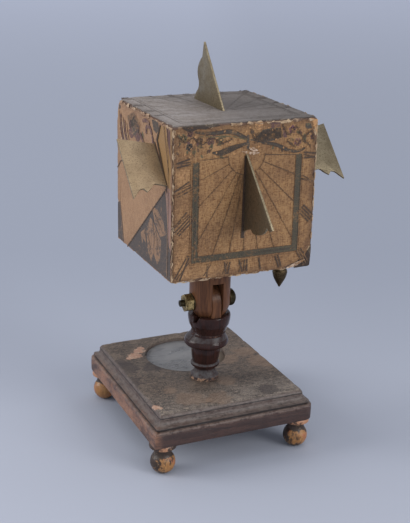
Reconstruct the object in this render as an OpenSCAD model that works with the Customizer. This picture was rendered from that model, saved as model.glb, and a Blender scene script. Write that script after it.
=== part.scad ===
// Polyhedral sundial: a papered wooden cube with five gnomons, tilting on a turned pillar.
// Millimetres. +Z is up, -Y is the south dial's side, +X is east.
// The origin is on the floor, on the pillar's axis.

/* [Cube] */
// Width of the cube over its papers
cube_w = 70; // [50:1:90]
// Thickness of a dial paper
paper_t = 0.4; // [0.2:0.1:0.8]
// Bare wood left around each paper
paper_margin = 0.4; // [0.2:0.1:2]

/* [Gnomons] */
// Thickness of the brass plates
gnomon_t = 1; // [0.6:0.1:1.6]
// Depth of a plate's tang in the block
tang_d = 5; // [3:0.5:9]
// Play of a tang in its slot, each side
tang_fit = 0.05; // [0.02:0.01:0.15]
// Distance of a tang from the ends of its plate's foot
tang_in = 4; // [2:0.5:5]
// Slope of the styles on the four upright dials
latitude = 45; // [40:0.5:55]
// Slope of the top plate's style edge
top_style_deg = 51; // [40:0.5:55]
// Height of the top plate
top_rise = 28; // [15:0.5:35]
// South end of the top plate, from the cube's axis
top_foot_s = 10.5; // [6:0.5:16]
// North end of the top plate, from the cube's axis
top_foot_n = 22.3; // [16:0.5:28]
// Reach of the south and north plates
wall_reach = 27.2; // [18:0.1:30]
// Depth of the south style's upper end below the cube's top
wall_down = 13.8; // [7:0.1:20]
// Length of the south plate on the face
wall_len = 36; // [30:0.5:42]
// Reach of the east and west plates
side_reach = 16.5; // [10:0.5:22]
// Length of the east and west plates on the face
side_len = 21.5; // [14:0.5:28]
// Length of a side plate's upper flare
side_flare = 4; // [2:0.5:6]
// Length of a side plate's lower horn
side_horn = 4.6; // [3:0.1:6]
// Lower end of a side plate, from the cube's south edges
side_in = 5.5; // [4:0.5:11]
// Lower end of a side plate above the cube's middle
side_z = 8; // [0:0.5:9]

/* [Knuckle] */
// Radius of the fork
fork_r = 10; // [8:0.1:12]
// Length of the fork from the bolt to the cube
fork_len = 24.8; // [18:0.2:32]
// Radius of the fork's tenon in the block
fork_tenon_r = 6; // [4:0.5:8]
// Length of the fork's tenon in the block
fork_tenon_l = 16; // [8:1:30]
// Thickness of the pillar's tongue
tongue_t = 5.2; // [4:0.1:7]
// Width of the pillar's tongue
tongue_w = 17.6; // [12:0.2:19]
// Play of the tongue in the fork's slot, each side
slot_fit = 0.3; // [0.2:0.05:0.6]
// Room over the tongue's round top
slot_room = 2.4; // [0.5:0.1:4]
// Room between the fork's ball end and the pillar's cup
cup_gap = 0.3; // [0.2:0.05:0.6]
// Radius of the bolt
bolt_r = 1.6; // [1.2:0.1:2.5]
// Running play of bolt and nut, on the radius
bolt_fit = 0.05; // [0.02:0.01:0.1]
// Depth of the flats cut for the washers
spot_d = 0.7; // [0.4:0.1:1.5]
// Radius of the washers
washer_r = 4.4; // [3:0.1:6]
// Thickness of the washers
washer_t = 0.6; // [0.4:0.1:1.2]
// Width of the nut over its flats
nut_af = 7.8; // [6:0.1:10]
// Thickness of the nut
nut_t = 3.6; // [2.5:0.1:5]
// Gap between nut and washer
nut_gap = 0.05; // [0.02:0.01:0.2]
// Width of the bolt's head over its flats
bolt_head_af = 8; // [6:0.1:10]
// Thickness of the bolt's head
bolt_head_t = 3.7; // [2.5:0.1:5]
// Free end of the bolt beyond the nut
bolt_tip = 2.3; // [1:0.1:4]

/* [Pillar] */
// Height of the bolt above the base
pin_rise = 41.3; // [36:0.1:50]
// Radius of the flange on the base
flange_r = 7.5; // [6:0.1:9]
// Thickness of the flange
flange_h = 1.4; // [0.8:0.1:2]
// Radius of the neck over the flange
neck_r = 5.2; // [4:0.1:6]
// Radius of the ring under the vase
ring_r = 7.2; // [6:0.1:8]
// Largest radius of the vase
vase_r = 7.2; // [6:0.1:8.5]
// Radius of the large bead
bead_r = 10.9; // [8.5:0.1:12]
// Radius of the cup's waist
waist_r = 8.2; // [7:0.1:9.5]
// Wall of the cup at its rim
rim_wall = 2.5; // [1.5:0.1:4]
// Angle of the cup's rim below the bolt
rim_deg = 39; // [38:0.5:50]
// Height of the ring's middle above the base
ring_z = 7.9; // [6.6:0.1:9]
// Half the height of the ring
ring_h = 1.3; // [0.8:0.1:1.6]
// Height of the vase's widest place above the base
vase_z = 14.2; // [12.5:0.1:15]
// Height of the large bead's widest place above the base
bead_z = 19; // [18:0.1:20]
// Depth of the large bead below its widest place
bead_under = 3.6; // [2:0.1:3.8]
// Height of the large bead above its widest place
bead_over = 5; // [2.5:0.1:6]
// Radius of the pillar's tenon in the base
pillar_tenon_r = 4.5; // [3:0.1:6]
// Length of the pillar's tenon in the base
pillar_tenon_l = 10; // [6:0.5:13]

/* [Base] */
// Width of the base
base_w = 84; // [70:1:110]
// Depth of the base
base_d = 97; // [80:1:120]
// Distance of the base's middle behind the pillar
base_back = 13.5; // [8:0.5:20]
// Height of the base's plain side
side_h = 8; // [5:0.5:12]
// Rounding of the side's upper edge
arris_r = 1; // [0.5:0.1:2]
// Ledge between side and moulding
ledge = 0.6; // [0.3:0.1:1.5]
// Height of the moulding's lower fillet
fillet_low = 1.4; // [0.6:0.1:2]
// Radius of the moulding's hollow
hollow_r = 2.4; // [1.5:0.1:4]
// Height of the moulding's upper fillet
fillet_high = 1; // [0.6:0.1:2]
// Set-back of the moulding's upper edge
set_back = 0.2; // [0.1:0.1:1]
// Radius of the moulding's upper round
round_r = 2.2; // [1:0.1:3]

/* [Feet] */
// Height of the feet
foot_h = 15.8; // [12:0.5:24]
// Radius of a foot's ball
ball_r = 6; // [4.5:0.1:8]
// Flat ground off under each ball
ball_cut = 0.3; // [0.1:0.05:0.5]
// Radius of a foot's collar
collar_r = 6.6; // [5:0.1:8]
// Thickness of a foot's collar
collar_t = 2.4; // [1.5:0.1:4]
// Radius of a foot's neck
foot_neck_r = 4.2; // [3:0.1:5]
// Radius of a foot's dowel
dowel_r = 2.5; // [1.5:0.1:4]
// Length of a foot's dowel
dowel_l = 6; // [3:0.5:7]
// Distance of a foot's axis from the base's edges
foot_inset = 6.5; // [6:0.1:12]

/* [Compass] */
// Distance of the compass behind the pillar
compass_back = 29; // [28.5:0.5:36]
// Radius of the compass glass
glass_r = 20.8; // [14:0.1:21]
// Thickness of the glass
glass_t = 1.6; // [1:0.1:3]
// Depth of the glass below the base's top
glass_down = 1.6; // [0.5:0.1:3]
// Play around the glass
glass_fit = 0.1; // [0.05:0.05:0.3]
// Width of the ledge under the glass
glass_seat = 1.4; // [0.8:0.1:3]
// Depth of the box under the glass
box_h = 5.8; // [5:0.1:8]
// Thickness of the compass card
card_t = 0.4; // [0.2:0.1:1]
// Length of the needle
needle_l = 31; // [20:0.5:33]
// Half width of the needle at its middle
needle_b = 1.5; // [0.8:0.1:2.5]
// Thickness of the needle
needle_t = 0.5; // [0.3:0.1:0.8]
// Radius of the needle's cap
cap_r = 2; // [1.5:0.1:3]
// Height of the needle's cap
cap_h = 2.8; // [2.4:0.1:3.4]
// Radius of the pivot
pivot_r = 0.8; // [0.5:0.1:1]
// Air between cap and pivot
pivot_gap = 0.3; // [0.2:0.05:0.5]
// Length of the pivot's point
pivot_point = 1; // [0.6:0.1:1.2]
// Air between the pivot's point and the cap
point_air = 0.1; // [0.05:0.05:0.3]
// Depth of the pivot in the wood
pivot_l = 4; // [2:0.5:5]
// Air between cap and glass
cap_air = 0.8; // [0.4:0.1:1.2]
// Thickness of the cap's roof
cap_wall = 0.8; // [0.6:0.1:1]

/* [Plumb] */
// Distance of the plumb nail north of the cube's axis
nail_y = 2.5; // [-4:0.5:10]
// Depth of the plumb nail below the cube's top
nail_down = 7; // [4:0.5:15]
// Radius of the nail
nail_r = 0.6; // [0.4:0.05:1]
// Depth of the nail in the block
nail_in = 6; // [4:0.5:10]
// Free length of the nail
nail_out = 6; // [5.5:0.1:9]
// Radius of the nail's head
nail_head_r = 1.2; // [1:0.1:2]
// Thickness of the nail's head
nail_head_t = 0.6; // [0.4:0.1:1]
// Distance of the thread from the paper
line_out = 4.6; // [4.3:0.1:5.4]
// Radius of the thread
line_r = 0.3; // [0.2:0.05:0.5]
// Play of the thread's loop on the nail
line_fit = 0.06; // [0.03:0.01:0.1]
// Length of the thread from the nail to the bob
line_l = 76.8; // [50:0.5:80]
// Length of the bob
bob_l = 12.5; // [9:0.5:18]
// Radius of the bob
bob_r = 3.75; // [2.5:0.05:4]
// Radius of the bob's neck
bob_neck_r = 1.3; // [1:0.1:1.6]
// Depth of the thread's hole in the bob
bob_hole = 2; // [1.5:0.1:3]
// Play of the thread in the bob
bob_fit = 0.02; // [0.01:0.01:0.1]

/* [Hidden] */
$fn = 64;
WOOD_DARK = [0.24, 0.15, 0.12];
WOOD_RED = [0.42, 0.27, 0.17];
WOOD_PALE = [0.68, 0.5, 0.27];
PAPER = [0.68, 0.54, 0.37];
BRASS = [0.42, 0.4, 0.28];
STEEL = [0.16, 0.18, 0.24];
GLASS = [0.6, 0.64, 0.68, 0.4];
eps = 0.01;
cut = 1;

// Heights of the base's parts
step_z = side_h + fillet_low;
hollow_z = step_z + hollow_r;
high_z = hollow_z + fillet_high;
base_h = high_z + round_r;
base_top = foot_h + base_h;
step_in = arris_r + ledge;
hollow_in = step_in + hollow_r;
high_in = hollow_in + set_back;
recess_r = glass_r + glass_fit;
box_r = recess_r - glass_seat;
glass_z = base_top - glass_down - glass_t;
box_z = glass_z - box_h;
cap_z = glass_z - cap_h - cap_air;
cap_bore = pivot_r + pivot_gap;
cap_cone = 0.8;
cap_roof = cap_h - cap_wall;
cap_brim = 1;
needle_z = cap_z + 0.4;

// Heights of the knuckle and the cube
pin_z = base_top + pin_rise;
cup_r = fork_r + cup_gap;
rim_z = pin_rise - cup_r * sin(rim_deg);
rim_r = cup_r * cos(rim_deg) + rim_wall;
vase_low = ring_z + ring_h - 0.2;
bead_low = bead_z - bead_under;
bead_high = bead_z + bead_over;
function cup_at(share) = bead_high + share * (rim_z - bead_high);
slot_w = tongue_t + 2 * slot_fit;
slot_top = tongue_w / 2 + slot_room;
spot_x = fork_r - spot_d;
nut_x = spot_x + washer_t + nut_gap;
half = cube_w / 2;
wood = half - paper_t;
cube_z = pin_z + fork_len + half;
wall_vertex = half - wall_down;
wall_end = wall_vertex - wall_len;
side_y = half - side_in;
nail_z = half - nail_down;

// Points on a smooth curve through the given points
function pt(p, i) = p[max(0, min(len(p) - 1, i))];
function bend(a, b, c, d, t) = 0.5 * (2 * b + (c - a) * t
    + (2 * a - 5 * b + 4 * c - d) * t * t + (3 * b - a - 3 * c + d) * t * t * t);
function curve(p, n = 6) = concat(
    [for (i = [0:len(p) - 2], k = [0:n - 1])
        bend(pt(p, i - 1), pt(p, i), pt(p, i + 1), pt(p, i + 2), k / n)],
    [p[len(p) - 1]]);

// A plate's tang, from a to b along its foot, in the order its outline runs
function tang(a, b) = [[0, a], [-tang_d, a], [-tang_d, b], [0, b]];
function swapped(p) = [for (q = p) [q[1], q[0]]];

// Top plate: [south to north, up]. Its north edge runs in shares of its tip and foot.
top_tip = [top_rise / tan(top_style_deg) - top_foot_s, top_rise];
function top_edge(p) = [for (q = p) [top_tip[0] + q[0] * (top_foot_n - top_tip[0]), q[1] * top_rise]];
top_line = concat(
    [[-top_foot_s, 0], top_tip],
    curve(top_edge([[0.14, 0.75], [0.42, 0.66], [0.62, 0.55], [0.63, 0.43], [0.48, 0.31], [0.52, 0.21],
        [0.77, 0.12], [1, 0]])),
    swapped(tang(top_foot_n - tang_in, -top_foot_s + tang_in)));

// South and north plates: [outwards, up]. The lower edge runs in shares of reach and drop.
wall_tip = [wall_reach, wall_vertex - wall_reach * tan(latitude)];
function wall_edge(p) = [for (q = p) [q[0] * wall_reach, wall_tip[1] + q[1] * (wall_end - wall_tip[1])]];
wall_line = concat(
    [[0, wall_vertex], wall_tip],
    curve(wall_edge([[0.92, 0.14], [0.86, 0.11], [0.82, 0.02]])),
    curve(wall_edge([[0.78, 0.23], [0.68, 0.48], [0.51, 0.7], [0.35, 0.75], [0.27, 0.61]])),
    curve(wall_edge([[0.19, 0.7], [0.1, 0.8], [0, 1]])),
    tang(wall_end + tang_in, wall_vertex - tang_in));

// East and west plates: [outwards, along the face]. The lower edge runs in shares of reach and horn.
function side_edge(p) = [for (q = p) [q[0] * side_reach, q[1] * side_horn]];
side_line = concat(
    [[0, side_len], [side_reach, side_len + side_flare], [side_reach, -side_horn]],
    curve(side_edge([[0.88, -0.52], [0.78, -0.13], [0.67, -0.02]])),
    curve(side_edge([[0.58, -0.41], [0.46, -0.09], [0.34, 0.33], [0.21, 0.26], [0, 0]])),
    tang(tang_in, side_len - tang_in));

// Thread: up one side of its loop, over the nail, down the other side and straight to the bob
loop_r = nail_r + line_fit + line_r;
loop_end = 5;
hang_n = 40;
line_pts = concat(
    [[0, -0.5, -2.2], [0, -0.85, -1]],
    [for (a = [180:-30:0]) [0, loop_r * cos(a), loop_r * sin(a)]],
    [[0, 0.85, -1], [0, 0.5, -2.2], [0, 0.1, -3.5]],
    [for (k = [0:hang_n]) [0, 0, -loop_end - k / hang_n * (line_l - loop_end)]]);

module at_cube() {
    translate([0, 0, cube_z]) children();
}

module at_bolt() {
    translate([0, 0, pin_z]) children();
}

module at_compass() {
    translate([0, compass_back, 0]) children();
}

module at_foot(sx, sy) {
    x = sx * (base_w / 2 - foot_inset);
    y = base_back + sy * (base_d / 2 - foot_inset);
    translate([x, y, 0]) children();
}

// A cylinder along X from x0 to x1
module bar_x(x0, x1, r) {
    translate([x0, 0, 0]) rotate([0, 90, 0]) cylinder(h = x1 - x0, r = r);
}

// Base profile across a width, drawn upwards
module base_profile(w) {
    translate([-w / 2, 0]) square([w, side_h - arris_r]);
    translate([-w / 2 + arris_r, 0]) square([w - 2 * arris_r, side_h]);
    for (s = [-1, 1]) translate([s * (w / 2 - arris_r), side_h - arris_r]) circle(r = arris_r);
    translate([-w / 2 + step_in, 0]) square([w - 2 * step_in, step_z]);
    difference() {
        translate([-w / 2 + step_in, step_z - eps]) square([w - 2 * step_in, hollow_r + eps]);
        for (s = [-1, 1]) translate([s * (w / 2 - step_in), hollow_z]) circle(r = hollow_r);
    }
    translate([-w / 2 + hollow_in, hollow_z - eps]) square([w - 2 * hollow_in, fillet_high + eps]);
    for (s = [-1, 1]) translate([s * (w / 2 - high_in - round_r), high_z]) circle(r = round_r);
    translate([-w / 2 + high_in + round_r, 0]) square([w - 2 * (high_in + round_r), base_h]);
}

module base_blank() {
    intersection() {
        rotate([90, 0, 0]) translate([0, 0, -base_d]) linear_extrude(2 * base_d) base_profile(base_w);
        rotate([90, 0, 90]) translate([0, 0, -base_w]) linear_extrude(2 * base_w) base_profile(base_d);
    }
}

module base_plate() {
    color(WOOD_DARK) difference() {
        translate([0, base_back, foot_h]) base_blank();
        translate([0, 0, base_top - pillar_tenon_l]) cylinder(h = pillar_tenon_l + cut, r = pillar_tenon_r);
        at_compass() translate([0, 0, glass_z]) cylinder(h = base_h, r = recess_r);
        at_compass() translate([0, 0, box_z]) cylinder(h = base_h, r = box_r);
        at_compass() translate([0, 0, box_z - pivot_l]) cylinder(h = base_h, r = pivot_r);
        for (sx = [-1, 1], sy = [-1, 1]) at_foot(sx, sy) translate([0, 0, foot_h - cut])
            cylinder(h = dowel_l + cut, r = dowel_r);
    }
}

module foot() {
    color(WOOD_PALE) union() {
        intersection() {
            translate([0, 0, ball_r - ball_cut]) sphere(r = ball_r);
            translate([0, 0, foot_h / 2]) cube([3 * ball_r, 3 * ball_r, foot_h], center = true);
        }
        translate([0, 0, ball_r]) cylinder(h = foot_h - ball_r - eps, r = foot_neck_r);
        translate([0, 0, foot_h - collar_t]) cylinder(h = collar_t, r = collar_r);
        translate([0, 0, foot_h - eps]) cylinder(h = dowel_l + eps, r = dowel_r);
    }
}

module foot_front_left() {
    at_foot(-1, -1) foot();
}

module foot_front_right() {
    at_foot(1, -1) foot();
}

module foot_back_left() {
    at_foot(-1, 1) foot();
}

module foot_back_right() {
    at_foot(1, 1) foot();
}

module compass_card() {
    color(PAPER) at_compass() translate([0, 0, box_z]) difference() {
        cylinder(h = card_t, r = box_r - glass_fit);
        translate([0, 0, -cut]) cylinder(h = card_t + 2 * cut, r = pivot_r + glass_fit);
    }
}

module compass_pivot() {
    shoulder = cap_z + cap_roof - pivot_point - point_air;
    color(BRASS) at_compass() union() {
        translate([0, 0, box_z - pivot_l]) cylinder(h = shoulder - box_z + pivot_l, r = pivot_r);
        translate([0, 0, shoulder - eps]) cylinder(h = pivot_point + eps, r1 = pivot_r, r2 = 0.1);
    }
}

module compass_needle() {
    tip = needle_l / 2;
    half_line = [[0.8, 0.72], [0.35, 0.68], [1, 0], [0.25, -1]];
    east = [for (q = half_line) [q[0] * needle_b, q[1] * tip]];
    west = [for (i = [len(east) - 1:-1:0]) [-east[i][0], east[i][1]]];
    color(STEEL) at_compass() translate([0, 0, needle_z]) difference() {
        union() {
            linear_extrude(needle_t) polygon(concat([[0, tip]], east, west));
            cylinder(h = needle_t, r = cap_r + cap_brim);
        }
        translate([0, 0, -cut]) cylinder(h = needle_t + 2 * cut, r = cap_r);
    }
}

module needle_cap() {
    color(BRASS) at_compass() translate([0, 0, cap_z]) difference() {
        union() {
            cylinder(h = cap_h - cap_brim, r = cap_r);
            translate([0, 0, cap_h - cap_brim]) cylinder(h = cap_brim, r1 = cap_r, r2 = 0.4 * cap_r);
        }
        translate([0, 0, -cut]) cylinder(h = cap_roof - cap_cone + cut, r = cap_bore);
        translate([0, 0, cap_roof - cap_cone - eps]) cylinder(h = cap_cone + eps, r1 = cap_bore, r2 = 0.3);
    }
}

module compass_glass() {
    color(GLASS) at_compass() translate([0, 0, glass_z]) cylinder(h = glass_t, r = glass_r);
}

// Turned profile of the pillar, radius across and height up from the base's top
module pillar_profile() {
    translate([0, -pillar_tenon_l]) square([pillar_tenon_r, pillar_tenon_l + eps]);
    square([flange_r, flange_h]);
    polygon(concat([[0, flange_h - 0.1]],
        curve([[flange_r - 0.4, flange_h - 0.1], [flange_r - 1, flange_h + 0.8],
            [neck_r + 0.3, flange_h + 2.2], [neck_r, flange_h + 3.4]]),
        [[0, flange_h + 3.4]]));
    square([neck_r, ring_z]);
    translate([ring_r - ring_h, ring_z]) circle(r = ring_h);
    translate([0, ring_z - ring_h]) square([ring_r - ring_h, 2 * ring_h]);
    polygon(concat([[0, vase_low]],
        curve([[ring_r - 0.9, vase_low], [ring_r - 0.5, vase_low + 1.5], [vase_r - 0.3, vase_z - 2.4],
            [vase_r, vase_z], [vase_r - 0.5, bead_low + 0.4]]),
        [[0, bead_low + 0.4]]));
    polygon(concat([[0, bead_low]],
        curve([[vase_r, bead_low], [bead_r - 1.2, bead_low + 0.4], [bead_r - 0.2, bead_z - 1.2],
            [bead_r, bead_z], [bead_r - 0.5, bead_z + bead_over * 0.35],
            [bead_r - 1.3, bead_z + bead_over * 0.7], [waist_r + 0.5, bead_high]]),
        [[0, bead_high]]));
    polygon(concat([[0, bead_high - 0.2]],
        curve([[waist_r + 0.1, bead_high - 0.2], [waist_r, cup_at(0.1)], [waist_r + 0.4, cup_at(0.24)],
            [rim_r - 0.9, cup_at(0.46)], [rim_r - 0.2, cup_at(0.68)], [rim_r, cup_at(0.84)],
            [rim_r - 0.1, rim_z - 0.5], [rim_r - 0.5, rim_z]]),
        [[0, rim_z]]));
}

module pillar() {
    drop = cup_r + 3;
    color(WOOD_DARK) difference() {
        union() {
            translate([0, 0, base_top]) difference() {
                rotate_extrude($fn = 96) intersection() {
                    pillar_profile();
                    translate([0, -pillar_tenon_l]) square([2 * rim_r, pillar_tenon_l + pin_rise]);
                }
                translate([0, 0, pin_rise]) sphere(r = cup_r, $fn = 96);
            }
            at_bolt() translate([-tongue_t / 2, -tongue_w / 2, -drop]) cube([tongue_t, tongue_w, drop]);
            at_bolt() bar_x(-tongue_t / 2, tongue_t / 2, tongue_w / 2);
        }
        at_bolt() bar_x(-tongue_t, tongue_t, bolt_r + bolt_fit);
    }
}

module fork() {
    color(WOOD_RED) at_bolt() difference() {
        union() {
            rotate_extrude($fn = 96) union() {
                intersection() {
                    circle(r = fork_r);
                    translate([0, -fork_r]) square([fork_r, fork_r]);
                }
                translate([0, -eps]) square([fork_r, fork_len + eps]);
            }
            translate([0, 0, fork_len - eps]) cylinder(h = fork_tenon_l + eps, r = fork_tenon_r);
        }
        translate([-slot_w / 2, -2 * fork_r, -2 * fork_r])
            cube([slot_w, 4 * fork_r, 2 * fork_r + slot_top]);
        bar_x(-2 * fork_r, 2 * fork_r, bolt_r);
        bar_x(spot_x, 2 * fork_r, washer_r + 0.3);
        bar_x(-2 * fork_r, -spot_x, washer_r + 0.3);
    }
}

module hinge_bolt() {
    head_x = spot_x + washer_t;
    color(BRASS) at_bolt() union() {
        bar_x(-nut_x - nut_t - bolt_tip, head_x + eps, bolt_r);
        intersection() {
            translate([head_x, 0, 0]) rotate([0, 90, 0]) rotate([0, 0, 22.5])
                cylinder(h = bolt_head_t, r = bolt_head_af / 2 / cos(22.5), $fn = 8);
            translate([head_x - 1.6, 0, 0]) sphere(r = bolt_head_t + 1.7);
        }
    }
}

module washer(x0) {
    color(BRASS) at_bolt() difference() {
        bar_x(x0, x0 + washer_t, washer_r);
        bar_x(x0 - cut, x0 + washer_t + cut, bolt_r);
    }
}

module washer_west() {
    washer(-spot_x - washer_t);
}

module washer_east() {
    washer(spot_x);
}

module clamp_nut() {
    corner = nut_af / 2 / cos(30);
    color(BRASS) at_bolt() difference() {
        intersection() {
            translate([-nut_x - nut_t, 0, 0]) rotate([0, 90, 0]) cylinder(h = nut_t, r = corner, $fn = 6);
            translate([-nut_x - nut_t / 2, 0, 0]) sphere(r = corner + 0.25);
        }
        bar_x(-nut_x - nut_t - cut, -nut_x + cut, bolt_r + bolt_fit);
    }
}

// Slots of the five tangs, cut inwards from the cube's faces
module tang_slots() {
    w = gnomon_t + 2 * tang_fit;
    less = 2 * (tang_in - tang_fit);
    translate([-w / 2, -top_foot_s + less / 2, half - tang_d])
        cube([w, top_foot_n + top_foot_s - less, tang_d + cut]);
    for (turn = [0, 180]) rotate([turn, 0, 0])
        translate([-w / 2, -half - cut, wall_end + less / 2])
            cube([w, tang_d + cut, wall_len - less]);
    for (flip = [0, 1]) mirror([flip, 0, 0])
        translate([half - tang_d, -side_y, side_z]) rotate([latitude, 0, 0])
            translate([0, less / 2, -w / 2]) cube([tang_d + cut, side_len - less, w]);
}

module nail_hole() {
    translate([0, nail_y, nail_z]) bar_x(half - nail_in, half + cut, nail_r);
}

module block() {
    color(WOOD_PALE) at_cube() difference() {
        translate([-wood, -wood, -half]) cube([2 * wood, 2 * wood, half + wood]);
        translate([0, 0, -half - cut]) cylinder(h = fork_tenon_l + cut, r = fork_tenon_r);
        tang_slots();
        nail_hole();
    }
}

// A sheet on one upright face of the block, cut for its gnomon
module side_sheet() {
    w = wood - paper_margin;
    difference() {
        translate([-w, -half, -half + paper_margin]) cube([2 * w, paper_t, half + w - paper_margin]);
        children();
    }
}

module dial_top() {
    w = wood - paper_margin;
    color(PAPER) at_cube() difference() {
        translate([-w, -w, wood]) cube([2 * w, 2 * w, paper_t]);
        tang_slots();
    }
}

module dial_south() {
    color(PAPER) at_cube() side_sheet() tang_slots();
}

module dial_north() {
    color(PAPER) at_cube() difference() {
        rotate([0, 0, 180]) side_sheet();
        tang_slots();
    }
}

module dial_east() {
    color(PAPER) at_cube() difference() {
        rotate([0, 0, 90]) side_sheet();
        tang_slots();
        nail_hole();
    }
}

module dial_west() {
    color(PAPER) at_cube() difference() {
        rotate([0, 0, -90]) side_sheet();
        tang_slots();
    }
}

// A plate in the plane of X = 0, outline drawn along Y and Z
module plate(outline) {
    color(BRASS) rotate([90, 0, 90]) translate([0, 0, -gnomon_t / 2])
        linear_extrude(gnomon_t) polygon(outline);
}

module gnomon_top() {
    at_cube() translate([0, 0, half]) plate(top_line);
}

module gnomon_south() {
    at_cube() translate([0, -half, 0]) mirror([0, 1, 0]) plate(wall_line);
}

module gnomon_north() {
    at_cube() rotate([180, 0, 0]) translate([0, -half, 0]) mirror([0, 1, 0]) plate(wall_line);
}

module side_plate() {
    color(BRASS) translate([half, -side_y, side_z]) rotate([latitude, 0, 0])
        translate([0, 0, -gnomon_t / 2]) linear_extrude(gnomon_t) polygon(side_line);
}

module gnomon_east() {
    at_cube() side_plate();
}

module gnomon_west() {
    at_cube() mirror([1, 0, 0]) side_plate();
}

module plumb_nail() {
    color(BRASS) at_cube() translate([0, nail_y, nail_z]) union() {
        bar_x(half - nail_in, half + nail_out, nail_r);
        bar_x(half + nail_out - eps, half + nail_out + nail_head_t, nail_head_r);
    }
}

// A round thread swept along points that lie in the plane of X = 0
module thread(p, r, sides) {
    n = len(p);
    run = [for (i = [0:n - 1]) let (d = pt(p, i + 1) - pt(p, i - 1)) d / norm(d)];
    rings = [for (i = [0:n - 1], k = [0:sides - 1])
        let (a = 360 * k / sides, m = cross([1, 0, 0], run[i]))
        p[i] + r * (cos(a) * [1, 0, 0] + sin(a) * m)];
    walls = [for (i = [0:n - 2], k = [0:sides - 1])
        let (q = (k + 1) % sides)
        [i * sides + k, (i + 1) * sides + k, (i + 1) * sides + q, i * sides + q]];
    first = [for (k = [0:sides - 1]) k];
    last = [for (k = [sides - 1:-1:0]) (n - 1) * sides + k];
    polyhedron(rings, concat([first], walls, [last]));
}

module at_nail() {
    at_cube() translate([half + line_out, nail_y, nail_z]) children();
}

module plumb_line() {
    color(PAPER) at_nail() thread(line_pts, line_r, 8);
}

module plumb_bob() {
    side = [[0.08, 0], [0.45, 0.19], [0.81, 0.4], [0.97, 0.58], [1, 0.67], [0.87, 0.76], [0.43, 0.82]];
    color(BRASS) at_nail() translate([0, 0, bob_hole - line_l]) difference() {
        rotate_extrude() polygon(concat(
            [[0, -bob_l]],
            curve([for (q = side) [q[0] * bob_r, (q[1] - 1) * bob_l]]),
            [[bob_neck_r, -0.15 * bob_l], [bob_neck_r, 0], [0, 0]]));
        translate([0, 0, -bob_hole - eps]) cylinder(h = bob_hole + cut, r = line_r + bob_fit);
    }
}

base_plate();
foot_front_left();
foot_front_right();
foot_back_left();
foot_back_right();
compass_card();
compass_pivot();
compass_needle();
needle_cap();
compass_glass();
pillar();
fork();
hinge_bolt();
washer_west();
washer_east();
clamp_nut();
block();
dial_top();
dial_south();
dial_north();
dial_east();
dial_west();
gnomon_top();
gnomon_south();
gnomon_north();
gnomon_east();
gnomon_west();
plumb_nail();
plumb_line();
plumb_bob();
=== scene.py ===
"""Looks of a polyhedral sundial: a papered cube on a turned pillar and a moulded base."""
import math

import bmesh
import bpy
from mathutils import Euler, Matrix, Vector, noise
from mathutils.geometry import delaunay_2d_cdt


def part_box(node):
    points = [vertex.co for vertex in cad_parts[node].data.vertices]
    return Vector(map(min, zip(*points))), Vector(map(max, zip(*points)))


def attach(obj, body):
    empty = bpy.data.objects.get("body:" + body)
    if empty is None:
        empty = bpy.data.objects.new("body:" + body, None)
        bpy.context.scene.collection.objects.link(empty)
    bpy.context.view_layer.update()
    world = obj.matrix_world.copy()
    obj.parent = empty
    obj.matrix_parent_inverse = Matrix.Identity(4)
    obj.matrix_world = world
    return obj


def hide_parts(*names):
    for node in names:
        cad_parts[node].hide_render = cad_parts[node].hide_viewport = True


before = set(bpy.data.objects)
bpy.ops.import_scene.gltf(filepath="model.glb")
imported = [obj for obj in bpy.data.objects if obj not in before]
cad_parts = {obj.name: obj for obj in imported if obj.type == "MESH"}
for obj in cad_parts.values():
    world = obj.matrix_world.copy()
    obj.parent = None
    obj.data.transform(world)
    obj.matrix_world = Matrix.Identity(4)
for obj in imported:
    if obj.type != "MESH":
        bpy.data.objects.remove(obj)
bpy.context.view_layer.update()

# Sizes are in millimetres, read from the frame where it has them
MM = 0.001


def low_high(node):
    low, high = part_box(node)
    return low / MM, high / MM


def middle(node):
    low, high = low_high(node)
    return (low + high) / 2


def extent(node):
    low, high = low_high(node)
    return high - low


CUBE = middle("block")
HALF = extent("block") / 2
PAPER = extent("dial_south").y
BASE = middle("base_plate")
BASE_HALF = extent("base_plate") / 2
BASE_LOW, BASE_TOP = (corner.z for corner in low_high("base_plate"))
PIN = Vector((0, 0, middle("hinge_bolt").z))
COMPASS = middle("compass_glass")
GLASS_R = extent("compass_glass").x / 2
GLASS_LOW = low_high("compass_glass")[0].z
CARD_TOP = low_high("compass_card")[1].z
CARD_R = extent("compass_card").x / 2
THREAD_R = 0.3
# Points nearer to each other than this are one point
MERGE = 0.001
# The photograph's own directions over the floor
TO_RIGHT, AWAY = Vector((0.91, -0.41, 0)), Vector((0.41, 0.91, 0))

# Faces of the cube: to the right, up and outwards as one looks at each
FACES = {
    "south": (Vector((1, 0, 0)), Vector((0, 0, 1)), Vector((0, -1, 0))),
    "north": (Vector((-1, 0, 0)), Vector((0, 0, 1)), Vector((0, 1, 0))),
    "east": (Vector((0, 1, 0)), Vector((0, 0, 1)), Vector((1, 0, 0))),
    "west": (Vector((0, -1, 0)), Vector((0, 0, 1)), Vector((-1, 0, 0))),
    "top": (Vector((1, 0, 0)), Vector((0, 1, 0)), Vector((0, 0, 1))),
    "under": (Vector((1, 0, 0)), Vector((0, -1, 0)), Vector((0, 0, -1))),
}
# Broken and blunted corners of the cube, from its middle, and how much rounder each is
CHIPPED = Vector((HALF.x, -HALF.y, -HALF.z))
BLUNT = [
    (CHIPPED, 0.6),
    (Vector((-HALF.x, HALF.y, HALF.z)), 3.2),
    (Vector((HALF.x, HALF.y, HALF.z)), 1.6),
]
BLUNT_REACH = 9


def linked(name, data):
    """An object in the scene that holds the data."""
    made = bpy.data.objects.new(name, data)
    bpy.context.scene.collection.objects.link(made)
    return made


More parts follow.
